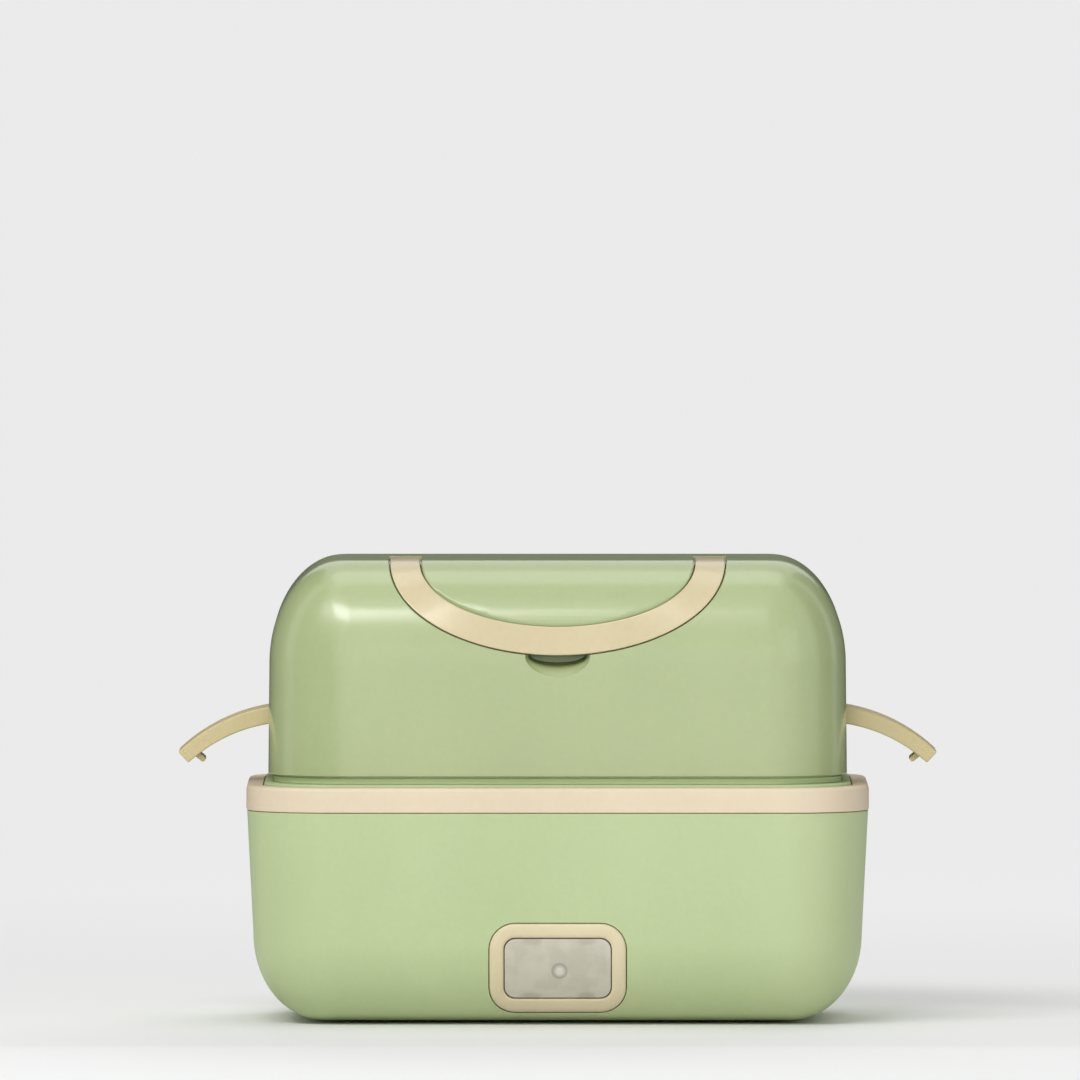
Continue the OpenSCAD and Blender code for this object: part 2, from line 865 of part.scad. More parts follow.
// One drawn well of the upper tray, hanging from the land
module well(w, d, r, z0, z1) {
    zc = z0 + tray_curve;
    lean = 1.4;
    around(w, d, r)
        polygon(concat(
            [[r, z1], [r - tray_t, z1]],
            arc(r - lean - tray_curve, zc, tray_curve - tray_t, tray_curve - tray_t, 0, -90, 6),
            [[0, z0 + tray_t], [0, z0]],
            arc(r - lean - tray_curve, zc, tray_curve, tray_curve, -90, 0, 6)));
    infill(w, d, r, z0, z0 + tray_t);
}

module upper_tray() {
    w = body_w - 2 * tray_in;
    d = body_d - 2 * tray_in;
    band = tray_r - 4.05;
    land_z = upper_rim_z - upper_band_h;
    well_w = body_w / 2 - tray_foot_in - land_w / 2 + 0.6;
    well_d = body_d - 2 * tray_foot_in + 1.2;
    well_r = tray_r - tray_foot_in + tray_in;
    well_x = land_w / 2 + well_w / 2;
    color(steel) {
        around(w, d, tray_r)
            polygon(concat(
                tray_rim(upper_rim_z),
                [[band - tray_t, land_z + tray_t], [band - 4, land_z + tray_t], [band - 4, land_z],
                    [band - 0.8, land_z], [band, land_z + 0.6]]));
        difference() {
            slab(w - 2 * 6.5, d - 2 * 6.5, tray_r - 6.5, land_z, land_z + tray_t);
            for (x = [-1, 1])
                translate([x * well_x, 0, 0])
                    slab(well_w - 2 * tray_t, well_d - 2 * tray_t, well_r - tray_t, land_z - 1, land_z + 2);
        }
        for (x = [-1, 1])
            translate([x * well_x, 0, 0])
                well(well_w, well_d, well_r, upper_tray_z, land_z + tray_t);
    }
}

// Cover that fits either tray: a crowned top, a brim over the tray's rim and a tapered plug
module tray_cover(z) {
    r = cover_r;
    mouth = cover_r - cover_lap - 4.05 - tray_t;
    w = body_w - 2 * cover_in;
    d = body_d - 2 * cover_in;
    skin = 1.2;
    color(frost) {
        around(w, d, r)
            polygon([
                [r, z - 1.4], [r, z + 0.4], [r - 0.6, z + 1], [r - 5.2, z + 1.3],
                [0, z + 1.3 + cover_rise], [0, z + 1.3 + cover_rise - skin], [mouth - 2.6, z + 0.7],
                [mouth - 9, z - plug_h], [mouth - 7.6, z - plug_h], [mouth - 0.7, z],
                [r - cover_lap + 0.7, z], [r - cover_lap + 0.7, z - 1.4]]);
        infill(w, d, r, z + 1.3 + cover_rise - skin, z + 1.3 + cover_rise);
    }
}

module lower_cover() {
    tray_cover(lower_rim_z);
}

module upper_cover() {
    tray_cover(upper_rim_z);
}

module middle_tier() {
    w = body_w - 2 * flange_in;
    d = body_d - 2 * flange_in;
    wall_w = body_w - 2 * tier_wall_in;
    wall_d = body_d - 2 * tier_wall_in;
    r = tier_wall_r;
    neck = r - collar_in + tier_wall_in;
    top = tier_z + tier_h - shoulder_drop;
    panel_top = top - shoulder_r;
    edge = 1;
    color(green) {
        difference() {
            union() {
                around(w, d, tier_r)
                    polygon(concat(
                        [[tier_r - flange_w, tier_z + flange_t], [tier_r - flange_w, tier_z]],
                        arc(tier_r - edge, tier_z + edge, edge, edge, -90, 0, 3),
                        arc(tier_r - edge, tier_z + flange_t - edge, edge, edge, 0, 90, 3)));
                around(wall_w, wall_d, r)
                    polygon(concat(
                        [[r - tier_wall, tier_z], [r, tier_z], [r, tier_z + flange_t]],
                        arc(r - tier_lean - shoulder_r, top - shoulder_r, shoulder_r, shoulder_r, 0, 90, 5),
                        [[neck - collar_t, top], [neck - collar_t, top - tier_wall],
                            [r - tier_wall - tier_lean, top - tier_wall]]));
            }
            for (s = [-1, 1])
                translate([-2 * rib_pitch, s * (wall_d / 2 + 2 - panel_cut) - 2, tier_z + flange_t])
                    cube([4 * rib_pitch, 4, panel_top - tier_z - flange_t]);
        }
        ring(body_w, body_d, cover_r + cover_in, collar_in, collar_in + collar_t, top - tier_wall,
            tier_z + tier_h);
        ring(body_w, body_d, cover_r + cover_in, collar_in + 1, ledge_in, ledge_z - ledge_t, ledge_z);
        for (s = [0, 180], i = [-2 : 2])
            rotate(s)
                translate([i * rib_pitch, panel_cut - wall_d / 2 + rib_sink, 0])
                    rotate([90, 0, 0])
                        linear_extrude(panel_cut + rib_sink)
                            polygon([[-rib_w / 2, tier_z + flange_t - rib_sink],
                                [rib_w / 2, tier_z + flange_t - rib_sink],
                                [rib_top_w / 2, panel_top + rib_sink], [-rib_top_w / 2, panel_top + rib_sink]]);
    }
}

// Pocket in the lid's side that the latch's root turns in, as a side view grown by grow
module latch_pocket(grow, reach) {
    x0 = pivot_x - latch_hub_r - pocket_play - grow;
    top = pivot_z + pocket_above + grow;
    skirt = pivot_z - pocket_skirt - grow;
    translate([0, (latch_w / 2 + handle_gap + grow * 2), 0])
        rotate([90, 0, 0])
            linear_extrude(latch_w + 2 * handle_gap + 4 * grow)
                polygon([[x0, top], [x0, pivot_z - pocket_below - grow / 2],
                    [pivot_x + pocket_lip - grow, skirt], [reach, skirt], [reach, top]]);
}

// Space that the folded handle lies in, with a wall round it where grow is more than 0
module handle_seat(grow) {
    difference() {
        intersection() {
            hanging_oval(handle_a, handle_drop, handle_gap + grow);
            lid_front(grow > 0 ? lid_wall / 2 : -2, handle_t + handle_gap + grow, seat_back + grow);
        }
        if (grow > 0)
            hanging_oval(handle_a - handle_band, handle_drop - handle_band, -handle_gap - seat_inside);
        else
            handle_sweep(handle_gap);
    }
}

// What the handle's inner side turns round: the middle of the lid's front stays inside it
module handle_sweep(gap) {
    reach = handle_reach(gap);
    translate([0, 0, hinge_z])
        rotate([0, 90, 0])
            rotate_extrude()
                polygon(concat([[0, reach[0][1]]], reach, [[0, -reach[0][1]]]));
}

module finger_notch(grow) {
    translate([0, -lid_d / 2 + notch_deep + grow, lid_top - handle_drop])
        rotate([90, 0, 0])
            linear_extrude(20)
                polygon(concat(arc(0, 0, notch_w / 2 + grow, notch_drop + grow, 180, 360, 20),
                    [[notch_w / 2 + grow, notch_up + grow], [-notch_w / 2 - grow, notch_up + grow]]));
}

module lid_shell() {
    hinge_x0 = handle_a - handle_band - handle_gap - hinge_wall;
    color(green)
        difference() {
            union() {
                around(lid_w, lid_d, lid_r)
                    polygon(concat(lid_curve(0), reversed(lid_curve(lid_wall))));
                infill(lid_w, lid_d, lid_r, lid_top - lid_wall, lid_top);
                handle_seat(seat_wall);
                intersection() {
                    finger_notch(seat_wall);
                    lid_front(lid_wall / 2, notch_deep + seat_wall, 0);
                }
                for (m = [0, 1])
                    mirror([m, 0, 0]) {
                        translate([hinge_x0, -hinge_front, hinge_z - hinge_under])
                            cube([handle_band + 2 * handle_gap + 2 * hinge_wall, hinge_front + hinge_back,
                                hinge_under + hinge_over]);
                        intersection() {
                            latch_pocket(1.4, lid_w / 2 - 1);
                            translate([0, -lid_d / 2, lid_z])
                                cube([lid_w / 2 - 1, lid_d, lid_h]);
                        }
                    }
                for (x = [-1, 1], y = [-1, 1])
                    translate([x * liner_screw_x, y * liner_screw_y, liner_z + liner_t])
                        cylinder(r = boss_r, h = lid_top - lid_wall / 2 - liner_z - liner_t);
            }
            handle_seat(0);
            finger_notch(0);
            for (m = [0, 1])
                mirror([m, 0, 0]) {
                    translate([handle_a - handle_band - handle_gap, 0, hinge_z])
                        rotate([0, 90, 0])
                            cylinder(r = hub_r + 0.5, h = handle_band + 2 * handle_gap);
                    translate([hinge_x0 + 0.5, 0, hinge_z])
                        rotate([0, 90, 0])
                            cylinder(r = hinge_pin_r + pin_play, h = handle_band + 2 * hinge_wall + 0.6);
                    latch_pocket(0, body_w / 2);
                    translate([pivot_x, latch_w / 2 + 2.4, pivot_z])
                        rotate([90, 0, 0])
                            cylinder(r = latch_pin_r + pin_play, h = latch_w + 4.8);
                }
            for (x = [-1, 1], y = [-1, 1])
                translate([x * liner_screw_x, y * liner_screw_y, liner_z])
                    cylinder(r = hatch_screw_r + pin_play, h = liner_screw_len - 1);
        }
}

module lid_frame() {
    r = lid_r;
    ring_out = r - lid_wall - frame_play;
    lip = r - frame_in;
    color(green)
        difference() {
            around(lid_w, lid_d, r)
                polygon([
                    [lip - frame_lip_w, lid_seat], [lip - 0.4, lid_seat],
                    [lip, lid_seat + 0.5], [lip, lid_seat + frame_lip_h],
                    [ring_out, lid_seat + frame_lip_h], [ring_out, lid_seat + frame_ring_h],
                    [ring_out - frame_t, lid_seat + frame_ring_h], [ring_out - frame_t, lid_seat + 4],
                    [lip - frame_lip_w, lid_seat + 3]]);
            ring(lid_w, lid_d, r, seal_in, seal_in + seal_w, lid_seat - 1, lid_seat + seal_h);
        }
}

module lid_seal() {
    color(rubber)
        ring(lid_w, lid_d, lid_r, seal_in + seal_play, seal_in + seal_w - seal_play, lid_seat,
            lid_seat + seal_h);
}

module lid_liner() {
    w = lid_w - 2 * liner_in;
    d = lid_d - 2 * liner_in;
    color(green)
        difference() {
            slab(w, d, liner_r, liner_z - liner_skirt, liner_z + liner_t);
            slab(w - 2 * liner_wall, d - 2 * liner_wall, liner_r - liner_wall, liner_z - liner_skirt - 1,
                liner_z);
            for (x = [-1, 1], y = [-1, 1])
                translate([x * liner_screw_x, y * liner_screw_y, liner_z - 1])
                    cylinder(r = hatch_screw_r + head_play, h = liner_t + 2);
        }
}

module liner_screws() {
    color(steel)
        for (x = [-1, 1], y = [-1, 1])
            translate([x * liner_screw_x, y * liner_screw_y, liner_z - liner_head_h])
                screw(hatch_screw_r, liner_head_r, liner_head_h, liner_screw_len, false);
}

module handle() {
    color(cream)
        difference() {
            union() {
                difference() {
                    intersection() {
                        hanging_oval(handle_a, handle_drop, 0);
                        lid_front(0, handle_t, 0);
                    }
                    handle_sweep(0);
                }
                for (m = [0, 1])
                    mirror([m, 0, 0])
                        translate([handle_a - handle_band, 0, hinge_z])
                            rotate([0, 90, 0])
                                cylinder(r = hub_r, h = handle_band);
            }
            for (m = [0, 1])
                mirror([m, 0, 0])
                    translate([handle_a - handle_band - 1, 0, hinge_z])
                        rotate([0, 90, 0])
                            cylinder(r = hinge_pin_r + pin_play, h = handle_band + 2);
        }
}

module handle_pins() {
    color(steel)
        for (m = [0, 1])
            mirror([m, 0, 0])
                translate([handle_a - handle_band - 4, 0, hinge_z])
                    rotate([0, 90, 0])
                        cylinder(r = hinge_pin_r, h = handle_band + 8);
}

module latch_pins() {
    color(steel)
        for (x = [-1, 1])
            translate([x * pivot_x, latch_w / 2 + 2, pivot_z])
                rotate([90, 0, 0])
                    cylinder(r = latch_pin_r, h = latch_w + 4);
}

// Points along a latch's bow, at a share of the way from its face to its hollow side
function latch_side(out, a0, a1) = [for (i = [0 : curve_steps]) let (
    k = i / curve_steps,
    a = a0 + (a1 - a0) * k,
    s = (a - latch_a0) / (latch_a1 - latch_a0),
    t = latch_root_t + (latch_tip_t - latch_root_t) * s,
    r = latch_bow + t / 2 - out)
    [latch_cx + r * cos(a), latch_cz + r * sin(a)]];

// Right-hand latch, drawn closed and then swung open about its pin
module latch() {
    side_t = 2;
    hollow_a0 = latch_a0 - 5;
    hollow_a1 = latch_a1 + latch_tip;
    tip_x = body_w / 2 - catch_bite;
    plate_x = latch_cx + latch_bow + latch_tip_t / 2 - latch_plate;
    color(cream)
        translate([pivot_x, 0, pivot_z])
            rotate([0, -latch_swing, 0])
                translate([-pivot_x, 0, -pivot_z])
                    difference() {
                        union() {
                            difference() {
                                translate([0, latch_w / 2, 0])
                                    rotate([90, 0, 0])
                                        linear_extrude(latch_w)
                                            polygon(concat(latch_side(0, latch_a0, latch_a1),
                                                [for (p = reversed(latch_side(0, latch_a0, latch_a1)))
                                                    let (v = p - [latch_cx, latch_cz])
                                                    p - v / norm(v) * (norm(v) - latch_bow + latch_tip_t / 2
                                                        + (latch_root_t - latch_tip_t) / 4)]));
                                translate([0, latch_w / 2 - side_t, 0])
                                    rotate([90, 0, 0])
                                        linear_extrude(latch_w - 2 * side_t)
                                            polygon(concat(
                                                latch_side(latch_plate, hollow_a0, hollow_a1),
                                                reversed(latch_side(latch_root_t + 3, hollow_a0, hollow_a1))));
                            }
                            translate([pivot_x, latch_w / 2, pivot_z])
                                rotate([90, 0, 0])
                                    cylinder(r = latch_hub_r, h = latch_w);
                            translate([tip_x, -catch_w / 2, catch_z - catch_t / 2])
                                cube([plate_x - tip_x, catch_w, catch_t]);
                        }
                        translate([pivot_x, latch_w / 2 + 1, pivot_z])
                            rotate([90, 0, 0])
                                cylinder(r = latch_pin_r + pin_play, h = latch_w + 2);
                    }
}

module left_latch() {
    mirror([1, 0, 0])
        latch();
}

module right_latch() {
    latch();
}

body_shell();
body_rim();
rim_seal();
heating_pan();
pan_gasket();
heater_plate();
ptc_stones();
heater_clamp();
clamp_nuts();
thermostat();
thermal_fuse();
circuit_board();
tact_switch();
indicator_leds();
board_screws();
switch_bezel();
inlet_socket();
inlet_pins();
mains_wires();
heater_wires();
bottom_cover();
cover_screws();
feet();
button_cap();
switch_plunger();
lower_tray();
lower_cover();
middle_tier();
upper_tray();
upper_cover();
lid_shell();
lid_frame();
lid_seal();
lid_liner();
liner_screws();
handle_pins();
latch_pins();
handle();
left_latch();
right_latch();
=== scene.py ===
import math

import bmesh
import bpy
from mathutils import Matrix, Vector


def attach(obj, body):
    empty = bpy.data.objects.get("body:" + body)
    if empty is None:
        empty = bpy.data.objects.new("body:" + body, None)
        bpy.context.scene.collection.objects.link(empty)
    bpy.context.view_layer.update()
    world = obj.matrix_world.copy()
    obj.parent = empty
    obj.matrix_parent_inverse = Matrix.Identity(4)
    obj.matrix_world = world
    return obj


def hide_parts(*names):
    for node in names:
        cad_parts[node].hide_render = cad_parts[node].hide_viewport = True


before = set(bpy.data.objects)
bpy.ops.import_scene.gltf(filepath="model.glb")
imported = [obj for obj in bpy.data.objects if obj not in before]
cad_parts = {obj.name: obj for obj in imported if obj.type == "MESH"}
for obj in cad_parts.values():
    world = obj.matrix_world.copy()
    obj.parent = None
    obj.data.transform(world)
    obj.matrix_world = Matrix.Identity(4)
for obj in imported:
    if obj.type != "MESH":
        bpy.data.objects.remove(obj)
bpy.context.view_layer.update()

# Body shell: a deep green moulding with a satin skin. Its sides lean out a little to the top so that it
# leaves the mould, and its base rolls under in one large curve. The frame round the push button and the
# inlet at the back sit in openings cut through its walls.
MM = 0.001
BODY_WIDTH = 240
BODY_DEPTH = 140
BODY_CORNER = 32
SHELL_BOTTOM = 1.2
SHELL_TOP = 82.5
BASE_CURVE_TOP = 34.2
BASE_CURVE_WIDTH = 27
BASE_CURVE_HEIGHT = 33
BASE_FLAT_IN = 2.3
BUTTON_HEIGHT = 22.4
HATCH_WIDTH = 168.6
HATCH_DEPTH = 68.6
HATCH_CORNER = 6.3
HATCH_TOP = 3.3
BEZEL_OPENING = (53.3, 35.5, 10.3)
INLET_OPENING = (28.6, 16.6, 4.3)
INLET_HEIGHT = 20.2
SMOOTH_ANGLE = 32


def pick(piece):
    """Selects one piece and nothing else"""
    bpy.ops.object.select_all(action="DESELECT")
    piece.select_set(True)
    bpy.context.view_layer.objects.active = piece


def draw_line(name, corners):
    """Draws a line from corner to corner, given in millimetres, and leaves it selected for shaping"""
    bpy.ops.object.select_all(action="DESELECT")
    bpy.ops.mesh.primitive_plane_add(size=MM)
    piece = bpy.context.object
    piece.name = name
    bpy.ops.object.mode_set(mode="EDIT")
    bpy.ops.mesh.select_mode(type="VERT")
    bpy.ops.mesh.merge(type="CENTER")
    bpy.ops.transform.translate(value=[MM * step for step in corners[0]])
    for here, there in zip(corners, corners[1:]):
        step = [MM * (b - a) for a, b in zip(here, there)]
        bpy.ops.mesh.extrude_vertices_move(TRANSFORM_OT_translate={"value": step})
    bpy.ops.mesh.select_all(action="SELECT")
    return piece


def close_up(piece):
    """Merges doubles, closes what is open and turns all faces outward"""
    bpy.ops.mesh.select_all(action="SELECT")
    bpy.ops.mesh.remove_doubles(threshold=MM / 1000)
    bpy.ops.mesh.fill_holes(sides=0)
    bpy.ops.mesh.normals_make_consistent(inside=False)
    bpy.ops.object.mode_set(mode="OBJECT")
    return piece


def wall_round(name, outline, width, depth, corner, stretch=1, turn=20):
    """Pulls an outline round a rounded rectangle. Its first numbers run out from the corner's centre"""
    side = width / 2 - corner
    front = depth / 2 - corner
    piece = draw_line(name, [(side + out, -front, up) for out, up in outline])
    bpy.ops.mesh.remove_doubles(threshold=MM / 1000)
    runs = ((side, front, 0, 2 * front), (-side, front, -2 * side, 0))
    runs += ((-side, -front, 0, -2 * front), (side, -front, 2 * side, 0))
    for x, y, along, back in runs:
        step = (MM * along / stretch, MM * back / stretch, 0)
        for part in range(stretch):
            bpy.ops.mesh.extrude_region_move(TRANSFORM_OT_translate={"value": step})
        bpy.ops.mesh.spin(steps=turn, angle=math.radians(90), center=(MM * x, MM * y, 0), axis=(0, 0, -1))
    return close_up(piece)


def arc(across, up, wide, high, start, end, steps):
    """Points of an ellipse's arc between two angles"""
    turns = [math.radians(start + (end - start) * step / steps) for step in range(steps + 1)]
    return [(across + wide * math.cos(turn), up + high * math.sin(turn)) for turn in turns]


def rounded_outline(width, height, corner, steps=8):
    """Corners of a rounded rectangle round its own middle"""
    points = []
    for turn, (x, z) in enumerate(((1, 1), (-1, 1), (-1, -1), (1, -1))):
        middle = (x * (width / 2 - corner), z * (height / 2 - corner))
        points += arc(*middle, corner, corner, 90 * turn, 90 * turn + 90, steps)
    return points


def bar(name, corners, pull):
    """Solid bar: a closed outline, filled and pulled along"""
    piece = draw_line(name, corners + corners[:1])
    bpy.ops.mesh.remove_doubles(threshold=MM / 1000)
    bpy.ops.mesh.edge_face_add()
    bpy.ops.mesh.extrude_region_move(TRANSFORM_OT_translate={"value": [MM * step for step in pull]})
    return close_up(piece)


def work(piece, tool, way="DIFFERENCE"):
    """Cuts a tool out of a piece, or joins or crosses the two, and puts the tool away"""
    change = piece.modifiers.new(way.lower(), "BOOLEAN")
    change.operation = way
    change.solver = "MANIFOLD"
    change.object = tool
    pick(piece)
    bpy.ops.object.modifier_apply(modifier=change.name)
    bpy.data.objects.remove(tool)
    return piece


def soften(piece, width, angle=50, steps=3):
    """Rounds the sharp edges of a piece"""
    pick(piece)
    change = piece.modifiers.new("soften", "BEVEL")
    change.width = MM * width
    change.segments = steps
    change.limit_method = "ANGLE"
    change.angle_limit = math.radians(angle)
    change.use_clamp_overlap = True
    bpy.ops.object.modifier_apply(modifier=change.name)
    return piece


def weld_on(piece, *others):
    """Makes several pieces one"""
    pick(piece)
    for other in others:
        other.select_set(True)
    bpy.ops.object.join()
    return piece


def hand_over(piece, finish, body, slot, *nodes):
    """Smooths a finished piece, gives it its finish, hides the drawn parts it stands for and hangs it on the
    body it moves with
    """
    pick(piece)
    bpy.ops.object.transform_apply(location=True, rotation=True, scale=True)
    bpy.ops.object.shade_smooth_by_angle(angle=math.radians(SMOOTH_ANGLE))
    change = piece.modifiers.new("weigh", "WEIGHTED_NORMAL")
    change.keep_sharp = True
    bpy.ops.object.modifier_apply(modifier=change.name)
    piece.data.materials.clear()
    piece.data.materials.append(finish)
    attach(piece, body)
    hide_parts(*nodes)


class Amount:
    """A number, colour or direction that changes over a surface, written in sums as on paper"""

    def __init__(self, mix, socket):
        self.mix = mix
        self.socket = socket

    def reckon(self, operation, *terms):
        return self.mix.node("ShaderNodeMath", {"operation": operation}, dict(enumerate(terms)))

    def __add__(self, other):
        return self.reckon("ADD", self, other)

    def __radd__(self, other):
        return self.reckon("ADD", other, self)

    def __sub__(self, other):
        return self.reckon("SUBTRACT", self, other)

    def __rsub__(self, other):
        return self.reckon("SUBTRACT", other, self)

    def __mul__(self, other):
        return self.reckon("MULTIPLY", self, other)

    def __rmul__(self, other):
        return self.reckon("MULTIPLY", other, self)

    def step(self, low, high):
        """Rises from 0 to 1 between two values"""
        values = {"Value": self, "From Min": low, "From Max": high}
        return self.mix.node("ShaderNodeMapRange", {"interpolation_type": "SMOOTHSTEP"}, values)


class Mix:
    """A finish while it is being mixed"""

    def __init__(self, name):
        self.material = bpy.data.materials.new(name)
        self.material.use_nodes = True
        self.tree = self.material.node_tree
        self.shader = self.tree.nodes["Principled BSDF"]

    def node(self, kind, settings=None, values=None, out=0):
        """Adds a node: its settings first, then the values or links of its sockets"""
        made = self.tree.nodes.new(kind)
        for name, value in (settings or {}).items():
            setattr(made, name, value)
        self.fill(made, values or {})
        return Amount(self, made.outputs[out])

    def fill(self, made, values):
        """Links or sets a node's sockets"""
        for name, value in values.items():
            if isinstance(value, Amount):
                self.tree.links.new(value.socket, made.inputs[name])
            else:
                made.inputs[name].default_value = value

    def place(self, stretch=(1, 1, 1), shift=(0, 0, 0), turn=(0, 0, 0)):
        """Where a point of the piece is, with each direction drawn out or shifted"""
        at = self.node("ShaderNodeTexCoord", out="Object")
        values = {"Vector": at, "Scale": stretch, "Location": shift, "Rotation": turn}
        return self.node("ShaderNodeMapping", {}, values)

    def along(self, axis):
        """Distance from the origin along X, Y or Z, in metres"""
        at = self.node("ShaderNodeTexCoord", out="Object")
        return self.node("ShaderNodeSeparateXYZ", {}, {"Vector": at}, out=axis)

    def cloud(self, scale, detail=3, stretch=(1, 1, 1)):
        """Soft mottling, with so many patches to the metre"""
        values = {"Vector": self.place(stretch), "Scale": scale, "Detail": detail}
        return self.node("ShaderNodeTexNoise", {}, values)

    def between(self, share, first, second):
        """A colour part of the way from the first to the second"""
        return self.node("ShaderNodeMix", {"data_type": "RGBA"}, {0: share, 6: first, 7: second}, out=2)

    def relief(self, height, depth):
        """Makes a height stand out from the skin, depth in millimetres"""
        return self.node("ShaderNodeBump", {}, {"Distance": MM * depth, "Height": height})

    def done(self, **sockets):
        """Sets the shader's sockets by their names"""
        for name, value in sockets.items():
            self.fill(self.shader, {name.replace("_", " ").title().replace("Ior", "IOR"): value})
        return self.material

    def show(self, surface):
        """Shows a mixed surface or light in place of the plain one"""
        output = next(node for node in self.tree.nodes if node.type.startswith("OUTPUT"))
        self.tree.links.new(surface.socket, output.inputs["Surface"])


def paint(red, green, blue):
    """A colour as a screen shows it, from 0 to 255, turned into light"""
    parts = [part / 255 for part in (red, green, blue)]
    light = [part / 12.92 if part <= 0.04045 else ((part + 0.055) / 1.055) ** 2.4 for part in parts]
    return (*light, 1)


def moulded(name, light, dark, gloss=0.4, grain=0.008, coat=0.0, hollow=None):
    """Satin moulded plastic: slow clouding of the pigment, a fine spark-eroded grain and a few soft rubs. A
    hollow is a mask of where painted shade darkens the colour, and the colour of that shade"""
    mix = Mix(name)
    flow = mix.cloud(14, 4, (1, 1, 0.4))
    pigment = mix.cloud(420, 2)
    grain_height = mix.cloud(1400, 1)
    sink = mix.cloud(38, 2)
    rubs = mix.cloud(26, 2, (1, 1, 3)).step(0.35, 0.8)
    shade = (0.75 * flow + 0.25 * pigment).step(0.3, 0.7)
    colour = mix.between(shade, dark, light)
    # Painted shade: a darker colour inside a hollow, where one is given
    if hollow:
        colour = mix.between(hollow[0](mix), colour, hollow[1])
    return mix.done(
        base_color=colour,
        roughness=gloss + 0.08 * pigment - 0.04 * rubs,
        coat_weight=coat,
        coat_roughness=0.16,
        normal=mix.relief(grain_height + 2.5 * sink, grain),
    )


def body_front(z):
    """Distance from the middle of the body to its front at a height, and how it faces: out and up"""
    if z >= BASE_CURVE_TOP:
        lean = (z - BASE_CURVE_TOP) * 2.4 / (SHELL_TOP - BASE_CURVE_TOP)
        return BODY_DEPTH / 2 - 2.7 + lean, 1
    fall = (BASE_CURVE_TOP - z) / BASE_CURVE_HEIGHT
    reach = BASE_CURVE_WIDTH * math.sqrt(1 - fall * fall)
    facing = Vector((reach / BASE_CURVE_WIDTH ** 2, -fall / BASE_CURVE_HEIGHT)).normalized()
    return BODY_DEPTH / 2 - 2.7 - BASE_CURVE_WIDTH + reach, facing[0]


def bar_through(name, width, height, corner, z, start, end):
    """Rounded bar that runs from front to back at a height"""
    corners = [(x, start, z + up) for x, up in rounded_outline(width, height, corner)]
    return bar(name, corners, (0, end - start, 0))


shell_outline = [(0, SHELL_BOTTOM)]
shell_outline += arc(BASE_FLAT_IN, BASE_CURVE_TOP, BASE_CURVE_WIDTH, BASE_CURVE_HEIGHT, -90, 0, 30)
shell_outline += [(31.68, 81.9), (31.5, 82.2), (31.0, 82.3), (29.1, 82.5)]
shell_outline += arc(BASE_FLAT_IN, BASE_CURVE_TOP, 24.4, 30.4, 0, -90, 16)[:-1]
shell_outline += [(BASE_FLAT_IN, 5.9), (0, 5.9)]
body_shell = wall_round("body_shell_skin", shell_outline, BODY_WIDTH, BODY_DEPTH, BODY_CORNER, 3, 28)
work(body_shell, bar_through("bezel_opening", *BEZEL_OPENING, BUTTON_HEIGHT, -80, -30))
work(body_shell, bar_through("inlet_opening", *INLET_OPENING, INLET_HEIGHT, 30, 80))
hatch_corners = [(x, y, 0) for x, y in rounded_outline(HATCH_WIDTH, HATCH_DEPTH, HATCH_CORNER)]
work(body_shell, bar("hatch_recess", hatch_corners, (0, 0, HATCH_TOP)))

shell_green = moulded("shell_green_satin", paint(193, 208, 158), paint(186, 202, 151), 0.42)
hand_over(body_shell, shell_green, "base", "shell_green", "body_shell")

# Body rim: a cream band pressed into the mouth of the shell. Its top edge is rounded over, a step inside it
# takes the middle tier with a groove for the seal, and a slot at each end takes a latch's catch.
RIM_TOP = 92
CATCH_SLOT_LOW = 84.4
CATCH_SLOT_HIGH = 88.2
CATCH_SLOT_HALF = 11
CATCH_SLOT_FROM = 117.25

rim_outline = [(29.2, 82.5), (31.6, 82.5), (31.9, 82.6), (32, 82.9)]
rim_outline += arc(30.4, 90.4, 1.6, 1.6, 0, 90, 8)
rim_outline += [(26.0, RIM_TOP), (25.78, 91.92), (25.7, 91.7), (25.7, 89.7), (25.5, 89.5), (24.5, 89.5)]
rim_outline += [(24.5, 88.3), (22.5, 88.3), (22.5, 89.5), (20.9, 89.5), (20.6, 89.4), (20.5, 89.1)]
rim_outline += [(20.5, 85.4), (20.7, 85.2), (22.5, 85.2), (22.7, 85.4), (22.7, 87), (29.2, 87), (29.2, 82.5)]
body_rim = wall_round("body_rim_band", rim_outline, BODY_WIDTH, BODY_DEPTH, BODY_CORNER, 3, 28)
slot_side = [(-CATCH_SLOT_HALF, CATCH_SLOT_LOW), (CATCH_SLOT_HALF, CATCH_SLOT_LOW)]
slot_side += [(CATCH_SLOT_HALF, CATCH_SLOT_HIGH), (-CATCH_SLOT_HALF, CATCH_SLOT_HIGH)]
for end in (-1, 1):
    corners = [(end * CATCH_SLOT_FROM, y, z) for y, z in slot_side]
    work(body_rim, bar("catch_slot", corners, (end * 6, 0, 0)))

rim_cream = moulded("rim_cream_satin", paint(231, 214, 187), paint(224, 207, 179), 0.36)
hand_over(body_rim, rim_cream, "base", "cream", "body_rim")

# Frame round the push button: a cream ring with rounded edges, clipped into the shell's front. It follows
# the front as that curves under, and stands out of it by less than half a millimetre.
BEZEL_WIDTH = 52.7
BEZEL_HEIGHT = 34.9
BEZEL_CORNER = 10


def lay_on_front(piece):
    """Stands a flat piece up and lays it on the curved front, so that its thickness runs outwards"""
    for corner in piece.data.vertices:
        z = BUTTON_HEIGHT + corner.co.y / MM
        reach, facing = body_front(z)
        corner.co = (corner.co.x, -MM * reach - corner.co.z / facing, MM * z)


